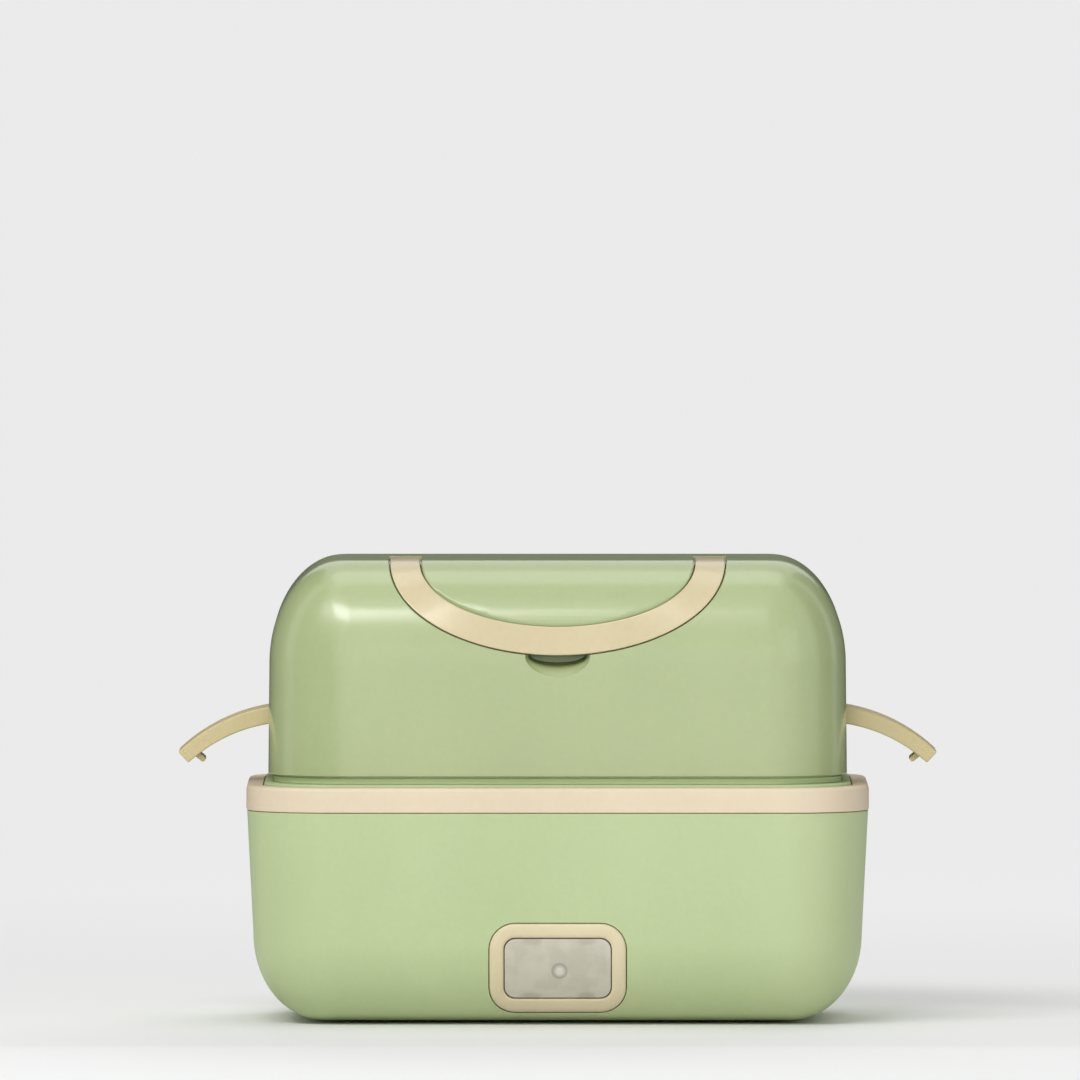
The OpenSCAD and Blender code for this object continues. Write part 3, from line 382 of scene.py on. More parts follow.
bezel_outline = [(10, -3), (10, -0.8)] + arc(8.0, -0.7, 2.0, 1.15, 0, 90, 8)
bezel_outline += [(7.2, 0.5), (6.6, 0.45)] + arc(6.0, -0.6, 1.6, 1.0, 90, 180, 8)
bezel_outline += [(4.4, -0.8), (4.4, -3), (10, -3)]
bezel = wall_round("button_frame", bezel_outline, BEZEL_WIDTH, BEZEL_HEIGHT, BEZEL_CORNER, 8, 14)
lay_on_front(bezel)
pick(bezel)
bpy.ops.object.mode_set(mode="EDIT")
close_up(bezel)
bezel_cream = moulded("bezel_cream_satin", paint(228, 215, 180), paint(222, 208, 172), 0.36)
hand_over(bezel, bezel_cream, "base", "cream", "switch_bezel")

# Push button: a smoky, frosted window that bends with the front and slides in its frame on a round stem.
# Its middle carries a round mark over the lamp's dot, and four faint smudges of painted shade stand for its
# clips behind it.
BUTTON_WIDTH = 40.8
BUTTON_TALL = 23
BUTTON_CORNER = 4.2
BUTTON_THICK = 1.6
STEM_RADIUS = 3.3
STEM_LENGTH = 9.2
STEM_MIDDLE = 59.4
MARK_X = 0.7
MARK_Z = 21.5

button_side = [(-28, -body_front(8 + step)[0], 8 + step) for step in range(30)]
button_side += [(-28, BUTTON_THICK - body_front(37 - step)[0], 37 - step) for step in range(30)]
button = bar("push_button_window", button_side, (56, 0, 0))
outline_bar = bar_through("button_outline", BUTTON_WIDTH, BUTTON_TALL, BUTTON_CORNER, BUTTON_HEIGHT, -80, -30)
work(button, outline_bar, "INTERSECT")
soften(button, 0.45, 40)
bpy.ops.object.select_all(action="DESELECT")
bpy.ops.mesh.primitive_cylinder_add(
    vertices=48, radius=STEM_RADIUS * MM, depth=STEM_LENGTH * MM, rotation=(math.radians(90), 0, 0),
    location=(0, -STEM_MIDDLE * MM, BUTTON_HEIGHT * MM))
stem = soften(bpy.context.object, 0.4)
weld_on(button, stem)

window = Mix("smoky_window")
mark_at = window.place((1, 0, 1), (-MARK_X * MM, 0, -MARK_Z * MM))
from_mark = window.node("ShaderNodeVectorMath", {"operation": "LENGTH"}, {0: mark_at}, out="Value")
ring_mark = from_mark.step(0.0019, 0.0024) * (1 - from_mark.step(0.0029, 0.0034))
dot_mark = 1 - from_mark.step(0.0010, 0.0017)
# Painted shade: four darker smudges where the clips behind the window shade it
painted_clip_shade = 0
for x, z in ((-10, 33), (11.5, 33), (-10, 11.5), (11, 11.5)):
    clip_at = window.place((0.55, 0, 1.3), (-0.55 * x * MM, 0, -1.3 * z * MM))
    from_clip = window.node("ShaderNodeVectorMath", {"operation": "LENGTH"}, {0: clip_at}, out="Value")
    painted_clip_shade = painted_clip_shade + (1 - from_clip.step(0.0008, 0.0028))
haze = window.cloud(160, 5)
smoke = window.between(haze.step(0.35, 0.65), paint(204, 199, 181), paint(214, 209, 192))
smoke = window.between(0.45 * painted_clip_shade, smoke, paint(166, 161, 140))
smoke = window.between(0.55 * ring_mark, smoke, paint(152, 148, 136))
smoke = window.between(0.85 * dot_mark, smoke, paint(226, 226, 218))
frost = window.cloud(2600, 2)
smoky_window = window.done(
    base_color=smoke, roughness=0.33 + 0.12 * frost - 0.06 * dot_mark, transmission_weight=0.08, ior=1.49,
    coat_weight=0.35, coat_roughness=0.12, normal=window.relief(frost + 3 * haze, 0.01))
hand_over(button, smoky_window, "push_button", "window", "button_cap")

# Heating pan: a shallow drawn steel bowl that hangs by its flange under the rim and takes the lower tray.
# Two studs welded under its floor hold the heater plate. It is brushed inside rather than polished.
PAN_WIDTH = 214
PAN_DEPTH = 114
PAN_CORNER = 19
PAN_FLOOR = 34.2
STUD_X = 51
STUD_RADIUS = 2
STUD_LENGTH = 14

pan_outline = [(0, PAN_FLOOR + 1)] + arc(10, PAN_FLOOR + 7, 6, 6, -90, 0, 10) + [(17.9, 82.6)]
pan_outline += arc(19.1, 82.8, 1.2, 1.2, 180, 90, 5) + [(24.8, 84), (25, 83.8), (25, 83.2), (24.8, 83)]
pan_outline += [(19.3, 83), (19.02, 82.8)] + arc(10, PAN_FLOOR + 7, 7, 7, 0, -90, 10) + [(0, PAN_FLOOR)]
pan = wall_round("heating_pan_bowl", pan_outline, PAN_WIDTH, PAN_DEPTH, PAN_CORNER, 3, 20)
studs = []
for x in (-STUD_X, STUD_X):
    bpy.ops.object.select_all(action="DESELECT")
    bpy.ops.mesh.primitive_cylinder_add(vertices=32, radius=STUD_RADIUS * MM, depth=STUD_LENGTH * MM,
                                        location=(x * MM, 0, (PAN_FLOOR - 6.7) * MM))
    studs.append(soften(bpy.context.object, 0.3, steps=2))
weld_on(pan, *studs)


def drawn_steel(name, pale, grey, gloss, line_depth):
    """Drawn and polished stainless steel: fine drawing lines up the walls, faint clouds and wipe marks"""
    mix = Mix(name)
    lines = mix.cloud(90, 4, (14, 14, 0.35))
    wipes = mix.cloud(22, 5, (1, 1, 2)).step(0.45, 0.75)
    ripple = mix.cloud(11, 1)
    return mix.done(
        base_color=mix.between(lines.step(0.3, 0.7), grey, pale), metallic=1.0,
        roughness=gloss + 0.02 * lines + 0.05 * wipes,
        normal=mix.relief(0.03 * lines + 35 * ripple, line_depth))


pan_steel = drawn_steel("brushed_pan_steel", paint(214, 213, 210), paint(196, 195, 192), 0.19, 0.006)
hand_over(pan, pan_steel, "base", "steel", "heating_pan")

# Lower tray: one deep drawing in thin stainless steel, polished inside and out. Its edge is turned out to a
# narrow flange with a raised bead inside it, which the cover's groove snaps over.
TRAY_WIDTH = 193.5
TRAY_DEPTH = 93.5
TRAY_CORNER = 19
TRAY_SHEET = 0.8
LOWER_TRAY_BOTTOM = 35.2
LOWER_TRAY_TOP = 74.7
TRAY_FOOT_OUT = 12.05
FOOT_ROUNDING = 7


def tray_edge(top):
    """Bead and flange of a tray from the inside of its wall to the outside, below a given top"""
    edge = [(-4.85, -2.9), (-4.85, -0.75), (-4.76, -0.32), (-4.48, -0.07), (-4.1, 0), (-3.75, -0.06)]
    edge += [(-3.5, -0.25), (-3.35, -0.6), (-3.2, -1.05), (-2.95, -1.35), (-2.5, -1.52), (-0.5, -1.93)]
    edge += [(-0.2, -2.0), (-0.04, -2.15), (0, -2.4), (-0.04, -2.62), (-0.2, -2.76), (-0.5, -2.74)]
    edge += [(-3.2, -2.28), (-3.7, -2.4), (-3.98, -2.7), (-4.06, -3.1)]
    return [(TRAY_CORNER + out, top + up) for out, up in edge]


def tray_foot(bottom, out, sheet, start, end):
    """Rounded foot of a tray's wall, or its inside when a sheet's thickness is taken off"""
    radius = FOOT_ROUNDING - sheet
    return arc(out - FOOT_ROUNDING, bottom + FOOT_ROUNDING, radius, radius, start, end, 12)


tray_outline = [(0, LOWER_TRAY_BOTTOM + TRAY_SHEET)]
tray_outline += tray_foot(LOWER_TRAY_BOTTOM, TRAY_FOOT_OUT, TRAY_SHEET, -90, 0) + tray_edge(LOWER_TRAY_TOP)
tray_outline += tray_foot(LOWER_TRAY_BOTTOM, TRAY_FOOT_OUT, 0, 0, -90) + [(0, LOWER_TRAY_BOTTOM)]
lower_tray = wall_round("lower_tray_drawing", tray_outline, TRAY_WIDTH, TRAY_DEPTH, TRAY_CORNER, 3, 24)
tray_steel = drawn_steel("polished_tray_steel", paint(250, 248, 246), paint(247, 245, 243), 0.04, 0.0012)
hand_over(lower_tray, tray_steel, "lower_tray", "steel", "lower_tray")

# Lower and upper covers: a soft translucent moulding, crowned so that water runs off, with a brim that snaps
# over the tray's flange, a tapered plug inside it and a sunk panel on top. The left end of the brim carries
# a small curled tab to pull it off by. The two covers are the same.
COVER_WIDTH = 203.5
COVER_DEPTH = 103.5
COVER_CORNER = 24
UPPER_TRAY_TOP = 117.1


def tray_cover(name, top):
    """A cover that lies on a tray whose rim is at a given height"""
    skin = [(0, 3.72), (3.0, 3.72), (3.4, 3.78), (3.8, 4.2), (4.2, 4.38), (5.0, 4.36), (8, 3.95), (12, 3.2)]
    skin += [(15.5, 2.35), (18.2, 1.62), (19.4, 1.36), (22.6, 1.08), (23.3, 1.0), (23.75, 0.75), (24, 0.3)]
    skin += [(24, -1.1), (23.85, -1.4), (19.9, -1.4), (19.7, -1.2), (19.7, -0.05), (14.2, 0), (13.6, -0.2)]
    skin += [(6.7, -5.2), (6.4, -5.4), (5.35, -5.4), (5.15, -5.15), (11.4, 0.5), (11.2, 0.72), (3, 2.9)]
    skin += [(0, 2.9)]
    outline = [(out, top + up) for out, up in skin]
    cover = wall_round(name, outline, COVER_WIDTH, COVER_DEPTH, COVER_CORNER, 3, 24)
    tab = [(-95.5, 0.9), (-97.2, 1.02), (-98.6, 1.3), (-99.7, 1.8), (-100.5, 2.5), (-101.1, 2.85)]
    tab += [(-101.7, 2.7), (-101.6, 2.0), (-101.0, 1.9), (-100.4, 1.2), (-99.4, 0.6), (-98.0, 0.2)]
    tab += [(-95.5, 0)]
    curl = bar("pull_tab", [(x, -7, top + up) for x, up in tab], (0, 14, 0))
    return weld_on(cover, soften(curl, 0.25, 60, 2))


frosted = Mix("frosted_teal")
from_middle = frosted.node("ShaderNodeMath", {"operation": "ABSOLUTE"}, {0: frosted.along("Y")})
low_edge = frosted.cloud(34, 4, (0.16, 1.2, 1))
streaks = frosted.cloud(120, 3, (0.1, 1.4, 1)).step(0.47, 0.66)
flecks = frosted.cloud(1500, 2)
flat_tint = frosted.between(low_edge.step(0.32, 0.68), paint(172, 227, 213), paint(208, 237, 228))
tint = frosted.between(0.9 * streaks, flat_tint, paint(104, 206, 220))
# Painted light: faces that look down, such as the plug's wall and the brim's underside, are painted paler
# than the rest, as if lit
facing = frosted.node("ShaderNodeTexCoord", out="Normal")
faces_up = frosted.node("ShaderNodeSeparateXYZ", {}, {"Vector": facing}, out="Z").step(-0.5, -0.05)
tint = frosted.between(faces_up, paint(214, 238, 230), tint)
tint = frosted.between(0.7 * from_middle.step(0.0505, 0.0515), tint, paint(150, 226, 206))
frosted_teal = frosted.done(
    base_color=tint, alpha=0.42, roughness=0.27 + 0.12 * flecks, ior=1.38, coat_weight=0.2,
    coat_roughness=0.12, normal=frosted.relief(flecks + 4 * low_edge, 0.012))
lower_cover = tray_cover("lower_cover_moulding", LOWER_TRAY_TOP)
hand_over(lower_cover, frosted_teal, "lower_cover", "cover", "lower_cover")

# Middle tier: a green ring that sits in the rim and carries the upper tray. It has a thin flange, a wall
# with a rounded shoulder, a collar that the upper tray drops into, and five ribs in a sunk panel on its
# front and on its back.
TIER_FLOOR = 89.5
FLANGE_TOP = 93
PANEL_TOP = 105.1
PANEL_HALF = 84.8
PANEL_SINK = 0.9
FLANGE_SIZE = (226.4, 126.4, 25.2)
WALL_SIZE = (207.8, 107.8, 24)
COLLAR_SIZE = (199.7, 99.7, 22.1)
RIB_PITCH = 42.4
TIER_FRONT = 53.9

flange_outline = [(12.2, TIER_FLOOR)] + arc(24.2, 90.5, 1, 1, -90, 0, 5) + arc(24.2, 92, 1, 1, 0, 90, 5)
flange_outline += [(12.2, FLANGE_TOP), (12.2, TIER_FLOOR)]
tier = wall_round("middle_tier_ring", flange_outline, *FLANGE_SIZE, 3, 24)
wall_outline = [(21.4, TIER_FLOOR + 0.2), (24, TIER_FLOOR + 0.2), (25.2, FLANGE_TOP - 0.05)]
wall_outline += arc(25.2, 94.25, 1.25, 1.25, 270, 180, 5) + arc(20.8, PANEL_TOP, 2.6, 2.6, 0, 90, 9)
wall_outline += [(17, 107.7), (17, 105.1), (20.8, 105.1), (21.4, TIER_FLOOR + 0.2)]
tier_wall = wall_round("tier_wall", wall_outline, *WALL_SIZE, 3, 24)
panel_side = [(-PANEL_HALF, FLANGE_TOP), (PANEL_HALF, FLANGE_TOP)]
panel_side += [(PANEL_HALF, PANEL_TOP - 0.3), (-PANEL_HALF, PANEL_TOP - 0.3)]
for side in (-1, 1):
    panel = [(x, side * (TIER_FRONT - PANEL_SINK), z) for x, z in panel_side]
    work(tier_wall, bar("sunk_panel", panel, (0, side * 5, 0)))
collar_outline = [(19.6, 104.9), (22.1, 104.9), (22.1, 112.3)] + arc(21.5, 112.4, 0.6, 0.6, 0, 90, 4)
collar_outline += arc(20.2, 112.4, 0.6, 0.6, 90, 180, 4) + [(19.6, 104.9)]
collar = wall_round("tier_collar", collar_outline, *COLLAR_SIZE, 3, 24)
ledge_outline = [(12.85, 107.5), (13.05, 107.3), (21.1, 107.3), (21.1, 109.5), (13.15, 109.5)]
ledge_outline += [(12.85, 109.2), (12.85, 107.5)]
ledge = wall_round("tray_ledge", ledge_outline, *COLLAR_SIZE, 3, 24)
rib_side = [(-1.6, FLANGE_TOP - 0.5), (1.6, FLANGE_TOP - 0.5)]
rib_side += [(0.8, PANEL_TOP + 0.4), (-0.8, PANEL_TOP + 0.4)]
ribs = []
for side in (-1, 1):
    for place in range(-2, 3):
        corners = [(place * RIB_PITCH + x, side * (TIER_FRONT - PANEL_SINK - 0.5), z) for x, z in rib_side]
        ribs.append(soften(bar("rib", corners, (0, side * (PANEL_SINK + 0.42), 0)), 0.3, 50, 2))
weld_on(tier, tier_wall, collar, ledge, *ribs)
tier_green = moulded("tier_green_satin", paint(188, 203, 154), paint(181, 196, 147), 0.38)
hand_over(tier, tier_green, "middle_tier", "lid_green", "middle_tier")

# Upper tray: a band and flange like the lower tray's, and below its step a land with two wells drawn from
# the same sheet. The sheet rolls over into each well.
LAND_TOP = 110.3
WELL_BOTTOM = 81.1
WELL_WIDTH = 86.5
WELL_DEPTH = 80.8
WELL_X = 47.15
WELL_CORNER = 12
WELL_FOOT_OUT = 10.6
LAND_SIZE = (179.4, 79.4, 11.9)

band_outline = [(11.2, LAND_TOP), (12.7, LAND_TOP), (13.5, 110.5), (13.95, 111.0), (14.15, 111.8)]
band_outline += tray_edge(UPPER_TRAY_TOP)
band_outline += [(14.95, 111.4), (14.85, 110.6), (14.4, 109.9), (13.6, 109.5), (11.2, 109.5)]
band_outline += [(11.2, LAND_TOP)]
upper_tray = wall_round("upper_tray_drawing", band_outline, TRAY_WIDTH, TRAY_DEPTH, TRAY_CORNER, 3, 24)
land_corners = [(x, y, LAND_TOP - TRAY_SHEET) for x, y in rounded_outline(*LAND_SIZE, 24)]
land = bar("land", land_corners, (0, 0, TRAY_SHEET))
well_outline = [(0, WELL_BOTTOM + TRAY_SHEET)] + tray_foot(WELL_BOTTOM, WELL_FOOT_OUT, TRAY_SHEET, -90, 0)
well_outline += [(11.2, 107.8), (11.35, 109.0), (11.8, 109.85), (12.6, 110.25), (13.6, 110.32)]
well_outline += [(13.6, 109.52), (12.9, 109.45), (12.35, 109.1), (12.05, 108.5), (11.98, 107.6)]
well_outline += tray_foot(WELL_BOTTOM, WELL_FOOT_OUT, 0, 0, -90) + [(0, WELL_BOTTOM)]
mouth_outline = rounded_outline(WELL_WIDTH - 1.6, WELL_DEPTH - 3.4, 10, 24)
wells = []
for side in (-1, 1):
    mouth = [(side * WELL_X + x, y, 100) for x, y in mouth_outline]
    work(land, bar("well_mouth", mouth, (0, 0, 20)))
    well = wall_round("well", well_outline, WELL_WIDTH, WELL_DEPTH, WELL_CORNER, 3, 20)
    well.location.x = side * WELL_X * MM
    wells.append(well)
weld_on(upper_tray, land, *wells)
hand_over(upper_tray, tray_steel, "upper_tray", "steel", "upper_tray")
upper_cover = tray_cover("upper_cover_moulding", UPPER_TRAY_TOP)
hand_over(upper_cover, frosted_teal, "upper_cover", "cover", "upper_cover")

# Lid shell: a deep green cap with a large rounded shoulder. A pocket in its front and top takes the folded
# handle, with a dished notch below it for a fingertip. A pocket in each end takes a latch's root.
LID_WIDTH = 223.3
LID_DEPTH = 123.3
LID_CORNER = 32
LID_BOTTOM = 96
LID_TOP = 178.5
SHOULDER_FOOT = 138.5
SHOULDER_WIDTH = 28
SHOULDER_HEIGHT = 40
FLAT_FRONT = 33.2
HANDLE_REACH = 64.65
HANDLE_DROP = 35.8
HANDLE_BAND = 11.6
HINGE_HEIGHT = 175.3
HUB_RADIUS = 3.2
HUB_ROOM = 3.7
PIN_HOLE = 1.55
SEAT_GAP = 0.4
PIVOT_X = 108
PIVOT_HEIGHT = 118
LATCH_HALF = 16


def lid_front(z, depth=0):
    """Distance from the lid's middle to its front at a height, at a depth under the skin"""
    rise = min(max((z - SHOULDER_FOOT) / (SHOULDER_HEIGHT - depth), 0), 1)
    return FLAT_FRONT + (SHOULDER_WIDTH - depth) * math.sqrt(1 - rise * rise)


def off_the_lid(x, z, out):
    """A point that stands off the lid's front, out along its facing"""
    y = lid_front(z)
    facing = Vector(((y - FLAT_FRONT) / SHOULDER_WIDTH ** 2, (z - SHOULDER_FOOT) / SHOULDER_HEIGHT ** 2))
    facing.normalize()
    return (x, -y - out * facing[0], z + out * facing[1])


def outer_side(turn, gap, depth):
    """Outer side of the folded handle: half an oval that hangs from the lid's top, seen from the front"""
    x = (HANDLE_REACH + gap) * math.sin(turn)
    z = LID_TOP - (HANDLE_DROP + gap) * math.cos(turn)
    if depth < 0:
        return off_the_lid(x, z, -depth)
    z = min(z, LID_TOP - depth)
    return (x, -lid_front(z, depth), z)


def inner_side(turn, gap, depth):
    """Inner side of the handle. It keeps its distance from the hinge, so that the handle can swing out"""
    x = (HANDLE_REACH - HANDLE_BAND - gap) * math.sin(turn)
    z = LID_TOP - (HANDLE_DROP - HANDLE_BAND) * math.cos(turn)
    radius = math.hypot(lid_front(z), HINGE_HEIGHT - z) - gap
    if depth < 0:
        return off_the_lid(x, z + 0.8 * gap * math.cos(turn), -depth)
    high = LID_TOP - depth
    low = SHOULDER_FOOT
    for halving in range(40):
        z = (low + high) / 2
        if math.hypot(lid_front(z, depth), HINGE_HEIGHT - z) > radius:
            low = z
        else:
            high = z
    return (x, -math.sqrt(max(radius ** 2 - (HINGE_HEIGHT - z) ** 2, 0)), z)


def handle_sections(outer, inner, back, steps=46):
    """Closed sections along the folded handle, from one hinge round to the other. Each side of a section
    is given as gaps out from the handle's own side, with their depths under the lid's skin"""
    sections = []
    for step in range(steps + 1):
        turn = math.radians(180 * step / steps - 90)
        sections.append([outer_side(turn, gap, depth) for gap, depth in outer]
                        + [inner_side(turn, gap, depth) for gap, depth in reversed(inner)])
    for side in (-1, 1):
        arms = []
        for y in (back, (back - FLAT_FRONT) / 2):
            far = [(side * (HANDLE_REACH + gap), y, LID_TOP - depth) for gap, depth in outer]
            near = [(side * (HANDLE_REACH - HANDLE_BAND - gap), y, LID_TOP - depth) for gap, depth in inner]
            arms.append(far + near[::-1])
        sections = arms + sections if side < 0 else sections + arms[::-1]
    return sections


def skin_over(name, sections):
    """Solid piece through closed sections that have the same number of corners"""
    piece = draw_line(name, sections[0])
    bpy.ops.mesh.edge_face_add()
    for before, section in zip(sections, sections[1:]):
        bpy.ops.mesh.extrude_region_move()
        shape = bmesh.from_edit_mesh(piece.data)
        for corner in shape.verts:
            if corner.select:
                gaps = [(corner.co - MM * Vector(place)).length for place in before]
                corner.co = MM * Vector(section[gaps.index(min(gaps))])
        bmesh.update_edit_mesh(piece.data)
    return close_up(piece)


def rod(name, radius, start, end, sides=48):
    """Round bar between two points"""
    run = Vector(end) - Vector(start)
    middle = MM * (Vector(start) + run / 2)
    lie = run.to_track_quat("Z", "Y").to_euler()
    bpy.ops.object.select_all(action="DESELECT")
    bpy.ops.mesh.primitive_cylinder_add(vertices=sides, radius=radius * MM, depth=run.length * MM,
                                        location=middle, rotation=lie)
    piece = bpy.context.object
    piece.name = name
    return piece


def notch_sections(grow, depths):
    """Sections of the dished finger notch, each a half oval drawn smaller as it goes deeper"""
    sections = []
    for depth, share in depths:
        half = 12.5 * share ** 0.35 + grow
        drop = 7.8 * share ** 2 + grow
        oval = arc(0, 142.7, half, drop, 180, 360, 24) + [(half, 146.2 + grow), (-half, 146.2 + grow)]
        sections.append([(x, depth - lid_front(z), z) for x, z in oval])
    return sections


def pocket_side(grow, reach, side):
    """Side view of the pocket that a latch's root turns in"""
    back = PIVOT_X - 3.8 - grow
    corners = [(back, 122.2 + grow), (back, 113 - grow / 2), (110.2 - grow, 107 - grow)]
    corners += [(reach, 107 - grow), (reach, 122.2 + grow)]
    half = LATCH_HALF + SEAT_GAP + 2 * grow
    return [(side * x, -half, z) for x, z in corners], (0, 2 * half, 0)


lid_outline = [(0, LID_TOP)] + arc(3.55, SHOULDER_FOOT, SHOULDER_WIDTH, SHOULDER_HEIGHT, 90, 0, 34)
lid_outline += [(31.97, 96.5), (31.85, 96.15), (31.55, LID_BOTTOM), (29.75, LID_BOTTOM), (29.5, 96.2)]
lid_outline += arc(3.55, SHOULDER_FOOT, 25.5, 37.5, 0, 90, 18) + [(0, 176)]
lid = wall_round("lid_shell_cap", lid_outline, LID_WIDTH, LID_DEPTH, LID_CORNER, 3, 28)
seat_wall = handle_sections([(2.6, 1.25), (2.6, 6.6)], [(9.4, 1.25), (9.4, 6.6)], 8.7)
hinge_side = [(47.6, 170.3), (70.1, 170.3), (70.1, 177.3), (47.6, 177.3)]
work(lid, skin_over("seat_wall", seat_wall), "UNION")
work(lid, skin_over("notch_wall", notch_sections(2.2, ((1.25, 1), (11.2, 1)))), "UNION")
for side in (-1, 1):
    corners, pull = pocket_side(1.4, 110.5, side)
    work(lid, bar("pocket_wall", corners, pull), "UNION")
    work(lid, bar("hinge_block", [(side * x, -5, z) for x, z in hinge_side], (0, 11, 0)), "UNION")
seat_side = [(SEAT_GAP + 0.35, -2), (SEAT_GAP + 0.35, 0), (SEAT_GAP, 0.35), (SEAT_GAP, 4.4)]
work(lid, skin_over("handle_seat", handle_sections(seat_side, seat_side, 6.5)))
notch_depths = [(-1.5, 1.06), (-0.5, 1.06), (-0.1, 1.02), (0.35, 1), (1.0, 0.95), (1.9, 0.87), (3.2, 0.78)]
notch_depths += [(5, 0.7), (9, 0.62)]
work(lid, skin_over("finger_notch", notch_sections(0, notch_depths)))
for side in (-1, 1):
    work(lid, rod("hub_room", HUB_ROOM, (side * 52.6, 0, HINGE_HEIGHT), (side * 65.1, 0, HINGE_HEIGHT)))
    work(lid, rod("pin_hole", PIN_HOLE, (side * 48.1, 0, HINGE_HEIGHT), (side * 70, 0, HINGE_HEIGHT), 32))
    corners, pull = pocket_side(0, 125, side)
    work(lid, bar("latch_pocket", corners, pull))
    hole_ends = [(side * PIVOT_X, y, PIVOT_HEIGHT) for y in (-18.4, 18.4)]
    work(lid, rod("latch_pin_hole", PIN_HOLE, *hole_ends, 32))
pick(lid)
bpy.ops.object.mode_set(mode="EDIT")
bpy.ops.mesh.select_all(action="SELECT")
bpy.ops.mesh.remove_doubles(threshold=MM / 50)
close_up(lid)


def notch_shade_mask(mix):
    """Rises to 1 in the deep part of the finger notch, under the handle, where painted shade goes"""
    across = mix.node("ShaderNodeMath", {"operation": "ABSOLUTE"}, {0: mix.along("X")})
    deep = mix.along("Y").step(-0.0594, -0.0565) * (1 - mix.along("Y").step(-0.0513, -0.0507))
    low = mix.along("Z").step(0.134, 0.1355) * (1 - mix.along("Z").step(0.1475, 0.1485))
    return 0.9 * (deep * low * (1 - across.step(0.0125, 0.0132)))


# The lid's green has painted shade in the deep part of the finger notch, for the shadow under the handle
lid_green = moulded("lid_green_satin", paint(174, 188, 137), paint(168, 182, 131), 0.31, coat=0.9,
                    hollow=(notch_shade_mask, paint(112, 130, 70)))
hand_over(lid, lid_green, "lid", "lid_green", "lid_shell")

# Lid frame: a green ring clipped up into the lid's mouth. Its lip shows below the lid as a thin line, set
# in behind a dark shadow gap, and its underside holds the lid's seal.
frame_outline = [(25.55, 93), (27.0, 93), (27.0, 94.4), (28.5, 94.4), (28.5, 93), (29.5, 93), (29.75, 93.1)]
frame_outline += [(29.85, 93.35), (29.85, 95.0), (29.75, 95.2), (29.55, 95.3), (29.15, 95.3), (29.15, 104)]
frame_outline += [(26.95, 104), (26.95, 97), (25.55, 96), (25.55, 93)]
lid_frame = wall_round("lid_frame_ring", frame_outline, LID_WIDTH, LID_DEPTH, LID_CORNER, 3, 28)
frame_green = moulded("frame_green_satin", paint(190, 206, 154), paint(184, 200, 148), 0.4)
hand_over(lid_frame, frame_green, "lid", "lid_green", "lid_frame")

# Handle: a cream bail, moulded in one with a hub at each end. Folded, it lies flush in the lid's front, and
# it turns on two steel pins. Its inner side leans back so that it clears the lid as it swings up.
bail_side = [(-0.7, 0), (-0.32, 0.1), (-0.1, 0.32), (0, 0.7), (0, 3.6), (-0.4, 4)]
bail = skin_over("handle_bail", handle_sections(bail_side, bail_side, 0))
hubs = []
for side in (-1, 1):
    hub = rod("hub", HUB_RADIUS, (side * 53.2, 0, HINGE_HEIGHT), (side * 64.5, 0, HINGE_HEIGHT))
    soften(hub, 0.3, steps=2)
    hole_ends = [(side * x, 0, HINGE_HEIGHT) for x in (50, 70)]
    hubs.append(work(hub, rod("pin_hole", PIN_HOLE, *hole_ends, 32)))
weld_on(bail, *hubs)
handle_cream = moulded("handle_cream_satin", paint(214, 200, 161), paint(207, 192, 152), 0.31, coat=0.6)
hand_over(bail, handle_cream, "handle", "cream", "handle")

# Latches: two bowed cream levers on steel pins in the lid's ends, hollow behind and open as photographed.
# Each has a square-cut tip, a hub at its root and a catch that snaps into the rim's slot. One is made,
# closed, and swung open. The other is its mirror copy.
BOW_X = 63.58
BOW_Z = 73.33
BOW_RADIUS = 63
ROOT_ANGLE = 45.16
TIP_ANGLE = 7.84
OPEN_SWING = 39.5
LATCH_SKIN = 2


def latch_sections(skin, back, half, start, end, steps=22):
    """Sections across a latch from its root to its tip, a skin's thickness in from its outer face"""
    sections = []
    for step in range(steps + 1):
        angle = start + (end - start) * step / steps
        share = (angle - ROOT_ANGLE) / (TIP_ANGLE - ROOT_ANGLE)
        face = BOW_RADIUS + (7 - 1.6 * share) / 2 - skin
        across = math.cos(math.radians(angle))
        up = math.sin(math.radians(angle))
        corners = ((face, -half), (face, half), (back, half), (back, -half))
        sections.append([(BOW_X + reach * across, y, BOW_Z + reach * up) for reach, y in corners])
    return sections


latch = skin_over("right_latch_lever", latch_sections(0, 59.9, LATCH_HALF, ROOT_ANGLE, TIP_ANGLE))
soften(latch, 0.6, 48)
hollow = latch_sections(LATCH_SKIN, 56, LATCH_HALF - LATCH_SKIN, ROOT_ANGLE - 5, TIP_ANGLE + 2.5)
work(latch, skin_over("hollow", hollow))
root = rod("hub", 3.3, (PIVOT_X, -LATCH_HALF, PIVOT_HEIGHT), (PIVOT_X, LATCH_HALF, PIVOT_HEIGHT))
work(latch, soften(root, 0.3, steps=2), "UNION")
catch_side = [(118.5, 85.5), (119.2, 85), (127.2, 85), (127.2, 87), (119.2, 87), (118.5, 86.5)]
work(latch, bar("catch", [(x, -10, z) for x, z in catch_side], (0, 20, 0)), "UNION")
work(latch, rod("pin_hole", PIN_HOLE, (PIVOT_X, -18, PIVOT_HEIGHT), (PIVOT_X, 18, PIVOT_HEIGHT), 32))
pick(latch)
bpy.ops.transform.rotate(value=math.radians(OPEN_SWING), orient_axis="Y", orient_type="GLOBAL",
                         center_override=(PIVOT_X * MM, 0, PIVOT_HEIGHT * MM))
bpy.ops.object.transform_apply(location=True, rotation=True, scale=True)
bpy.ops.object.duplicate()
left = bpy.context.object
left.name = "left_latch_lever"
bpy.ops.object.mode_set(mode="EDIT")
bpy.ops.mesh.select_all(action="SELECT")
